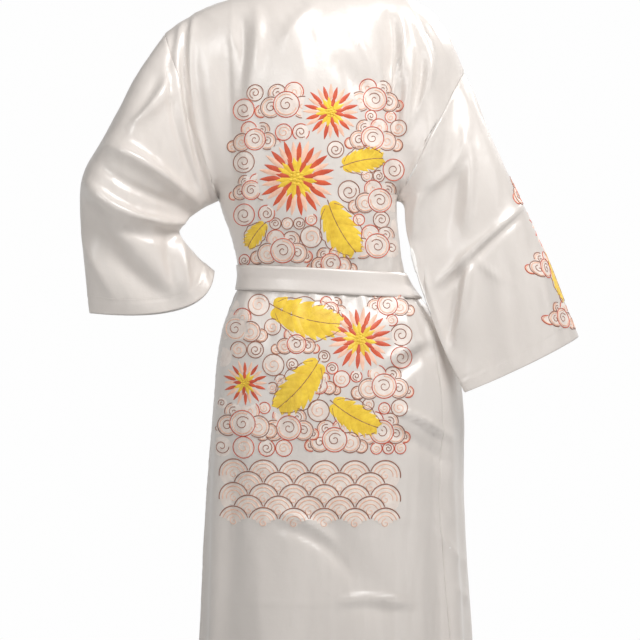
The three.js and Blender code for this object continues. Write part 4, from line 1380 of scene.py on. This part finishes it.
back_ground = Ground(sewn["back"], (0, 0, 0), (-1, 0, 0), (0, 0, 1))
# The design is planned as seen from behind: the first number grows to the robe's right.
upper = []
bloom(back_ground, (14, -208), 44, 24, upper)
bloom(back_ground, (-40, -312), 60, 30, upper)
leaf(back_ground, (12, -356), -1.05, 84, 54, 0.2, upper)
leaf(back_ground, (36, -292), 0.2, 62, 38, -0.2, upper)
leaf(back_ground, (-92, -384), -2.2, 44, 28, 0.2, upper)
for x, z, size, hand in (
    (-56, -196, 33, 1),
    (84, -186, 30, -1),
    (80, -248, 29, 1),
    (-106, -250, 27, -1),
    (92, -346, 30, -1),
    (-112, -330, 24, 1),
    (-62, -426, 31, -1),
    (88, -418, 31, -1),
    (14, -446, 25, 1),
):
    cloud(back_ground, (x, z), size, hand, upper)
for radius in (17, 13, 9):
    scrolls(back_ground, -124, 122, -440, -176, radius, upper)

lower = []
leaf(back_ground, (-72, -516), -0.25, 106, 58, 0.25, lower)
bloom(back_ground, (60, -566), 50, 26, lower)
leaf(back_ground, (-8, -606), -2.3, 94, 54, -0.2, lower)
bloom(back_ground, (-122, -636), 36, 20, lower)
leaf(back_ground, (20, -668), -0.5, 78, 46, 0.2, lower)
for x, z, size, hand in (
    (-138, -550, 31, 1),
    (-40, -574, 24, -1),
    (104, -512, 26, 1),
    (98, -640, 31, -1),
    (-126, -700, 33, 1),
    (-52, -706, 31, -1),
    (20, -724, 31, 1),
    (94, -712, 30, -1),
    (14, -520, 20, -1),
    (-4, -640, 20, 1),
):
    cloud(back_ground, (x, z), size, hand, lower)
for radius in (17, 13, 9):
    scrolls(back_ground, -160, 126, -738, -506, radius, lower)
waves(back_ground, -140, 112, -856, 5, 24, lower)

sleeve_ground = Ground(sewn["sleeve_right"], (-340, 30, -410), (-0.5, -0.82, 0), (-0.3, 0.1, 0.95))
on_sleeve = []
bloom(sleeve_ground, (6, 24), 34, 20, on_sleeve)
leaf(sleeve_ground, (4, -12), -1.5, 62, 36, 0.2, on_sleeve)
for x, z, size, hand in (
    (-20, 68, 22, 1),
    (28, 78, 20, -1),
    (-26, -30, 21, 1),
    (28, -62, 21, -1),
    (-10, -98, 22, 1),
):
    cloud(sleeve_ground, (x, z), size, hand, on_sleeve)

sewing = seam_thread.make("seam_stitches", SATIN)
embroidery = []
for threads, name, slot, colour in (
    (gold, "gold", "gold_thread", GOLD),
    (red, "red", "red_thread", RED),
    (peach, "peach", "peach_thread", PEACH),
    (brown, "brown", "brown_thread", BROWN),
    (cream, "cream", "satin", CREAM),
):
    piece = threads.make(name + "_embroidery", colour)
    embroidery.append(piece)

for piece in [*pieces.values(), sewing, *embroidery]:
    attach(piece, "root")

# The floor, the light and the camera.
FLOOR_Z, FLOOR_REACH = -1.48, 3.0
floor_mesh = bpy.data.meshes.new("floor")
square = ((-1, -1), (1, -1), (1, 1), (-1, 1))
corners = [(x * FLOOR_REACH, y * FLOOR_REACH, FLOOR_Z) for x, y in square]
floor_mesh.from_pydata(corners, [], [(0, 1, 2, 3)])
floor = put("floor", floor_mesh)
floor_paint, _, _, shader = material("pale_floor")
preset(shader, {"Base Color": (0.8, 0.8, 0.8, 1), "Roughness": 0.8})
preset(shader, {"Emission Color": (1, 1, 1, 1), "Emission Strength": 0.1})
floor_mesh.materials.append(floor_paint)

# The studio is pale near the floor, white behind the robe and dim overhead.
world = bpy.data.worlds.new("studio")
world.use_nodes = True
nodes, links = world.node_tree.nodes, world.node_tree.links
direction = nodes.new("ShaderNodeTexCoord").outputs["Generated"]
parts = nodes.new("ShaderNodeSeparateXYZ")
links.new(direction, parts.inputs[0])
behind = ramp(nodes, links, parts.outputs["Y"], 1, 0, -0.96, -0.75)
overhead = ramp(nodes, links, parts.outputs["Z"], 0, 1, 0.08, 0.4)
around = blend_colour(nodes, links, overhead, (0.62, 0.62, 0.61), (0.05, 0.05, 0.05))
paint = blend_colour(nodes, links, behind, (0, 0, 0), (0.99, 0.99, 0.99))
links.new(around, paint.node.inputs[6])
links.new(paint, nodes["Background"].inputs["Color"])
bpy.context.scene.world = world
bpy.context.scene.view_settings.view_transform = "Standard"


def aim(obj, place, direction):
    obj.location = place
    obj.rotation_mode = "QUATERNION"
    obj.rotation_quaternion = direction.to_track_quat("-Z", "Y")


def area_light(name, place, target, size, power):
    light = bpy.data.lights.new(name, "AREA")
    light.shape = "RECTANGLE"
    light.size, light.size_y = size
    light.energy = power
    aim(put(name, light), place, Vector(target) - Vector(place))


area_light("key", (-0.7, 1.3, 1.3), (0.0, 0.1, -0.15), (1.4, 0.55), 51)
area_light("low", (-1.5, 2.0, -0.5), (0, 0, -0.7), (0.12, 1.8), 3.4)
area_light("side_left", (1.6, 1.9, 0.5), (0.25, 0, -0.25), (0.3, 0.9), 15)
area_light("front", (-1.7, -1.9, 1.5), (0, 0, -0.6), (1.0, 1.0), 66)

camera_data = bpy.data.cameras.new("camera")
camera_data.sensor_width = 36
camera_data.lens = 175.8
camera_data.clip_end = 60
camera = put("camera", camera_data)
aim(camera, (0.003, 5.05, -0.536), Vector((0, -1, 0)))
bpy.context.scene.camera = camera
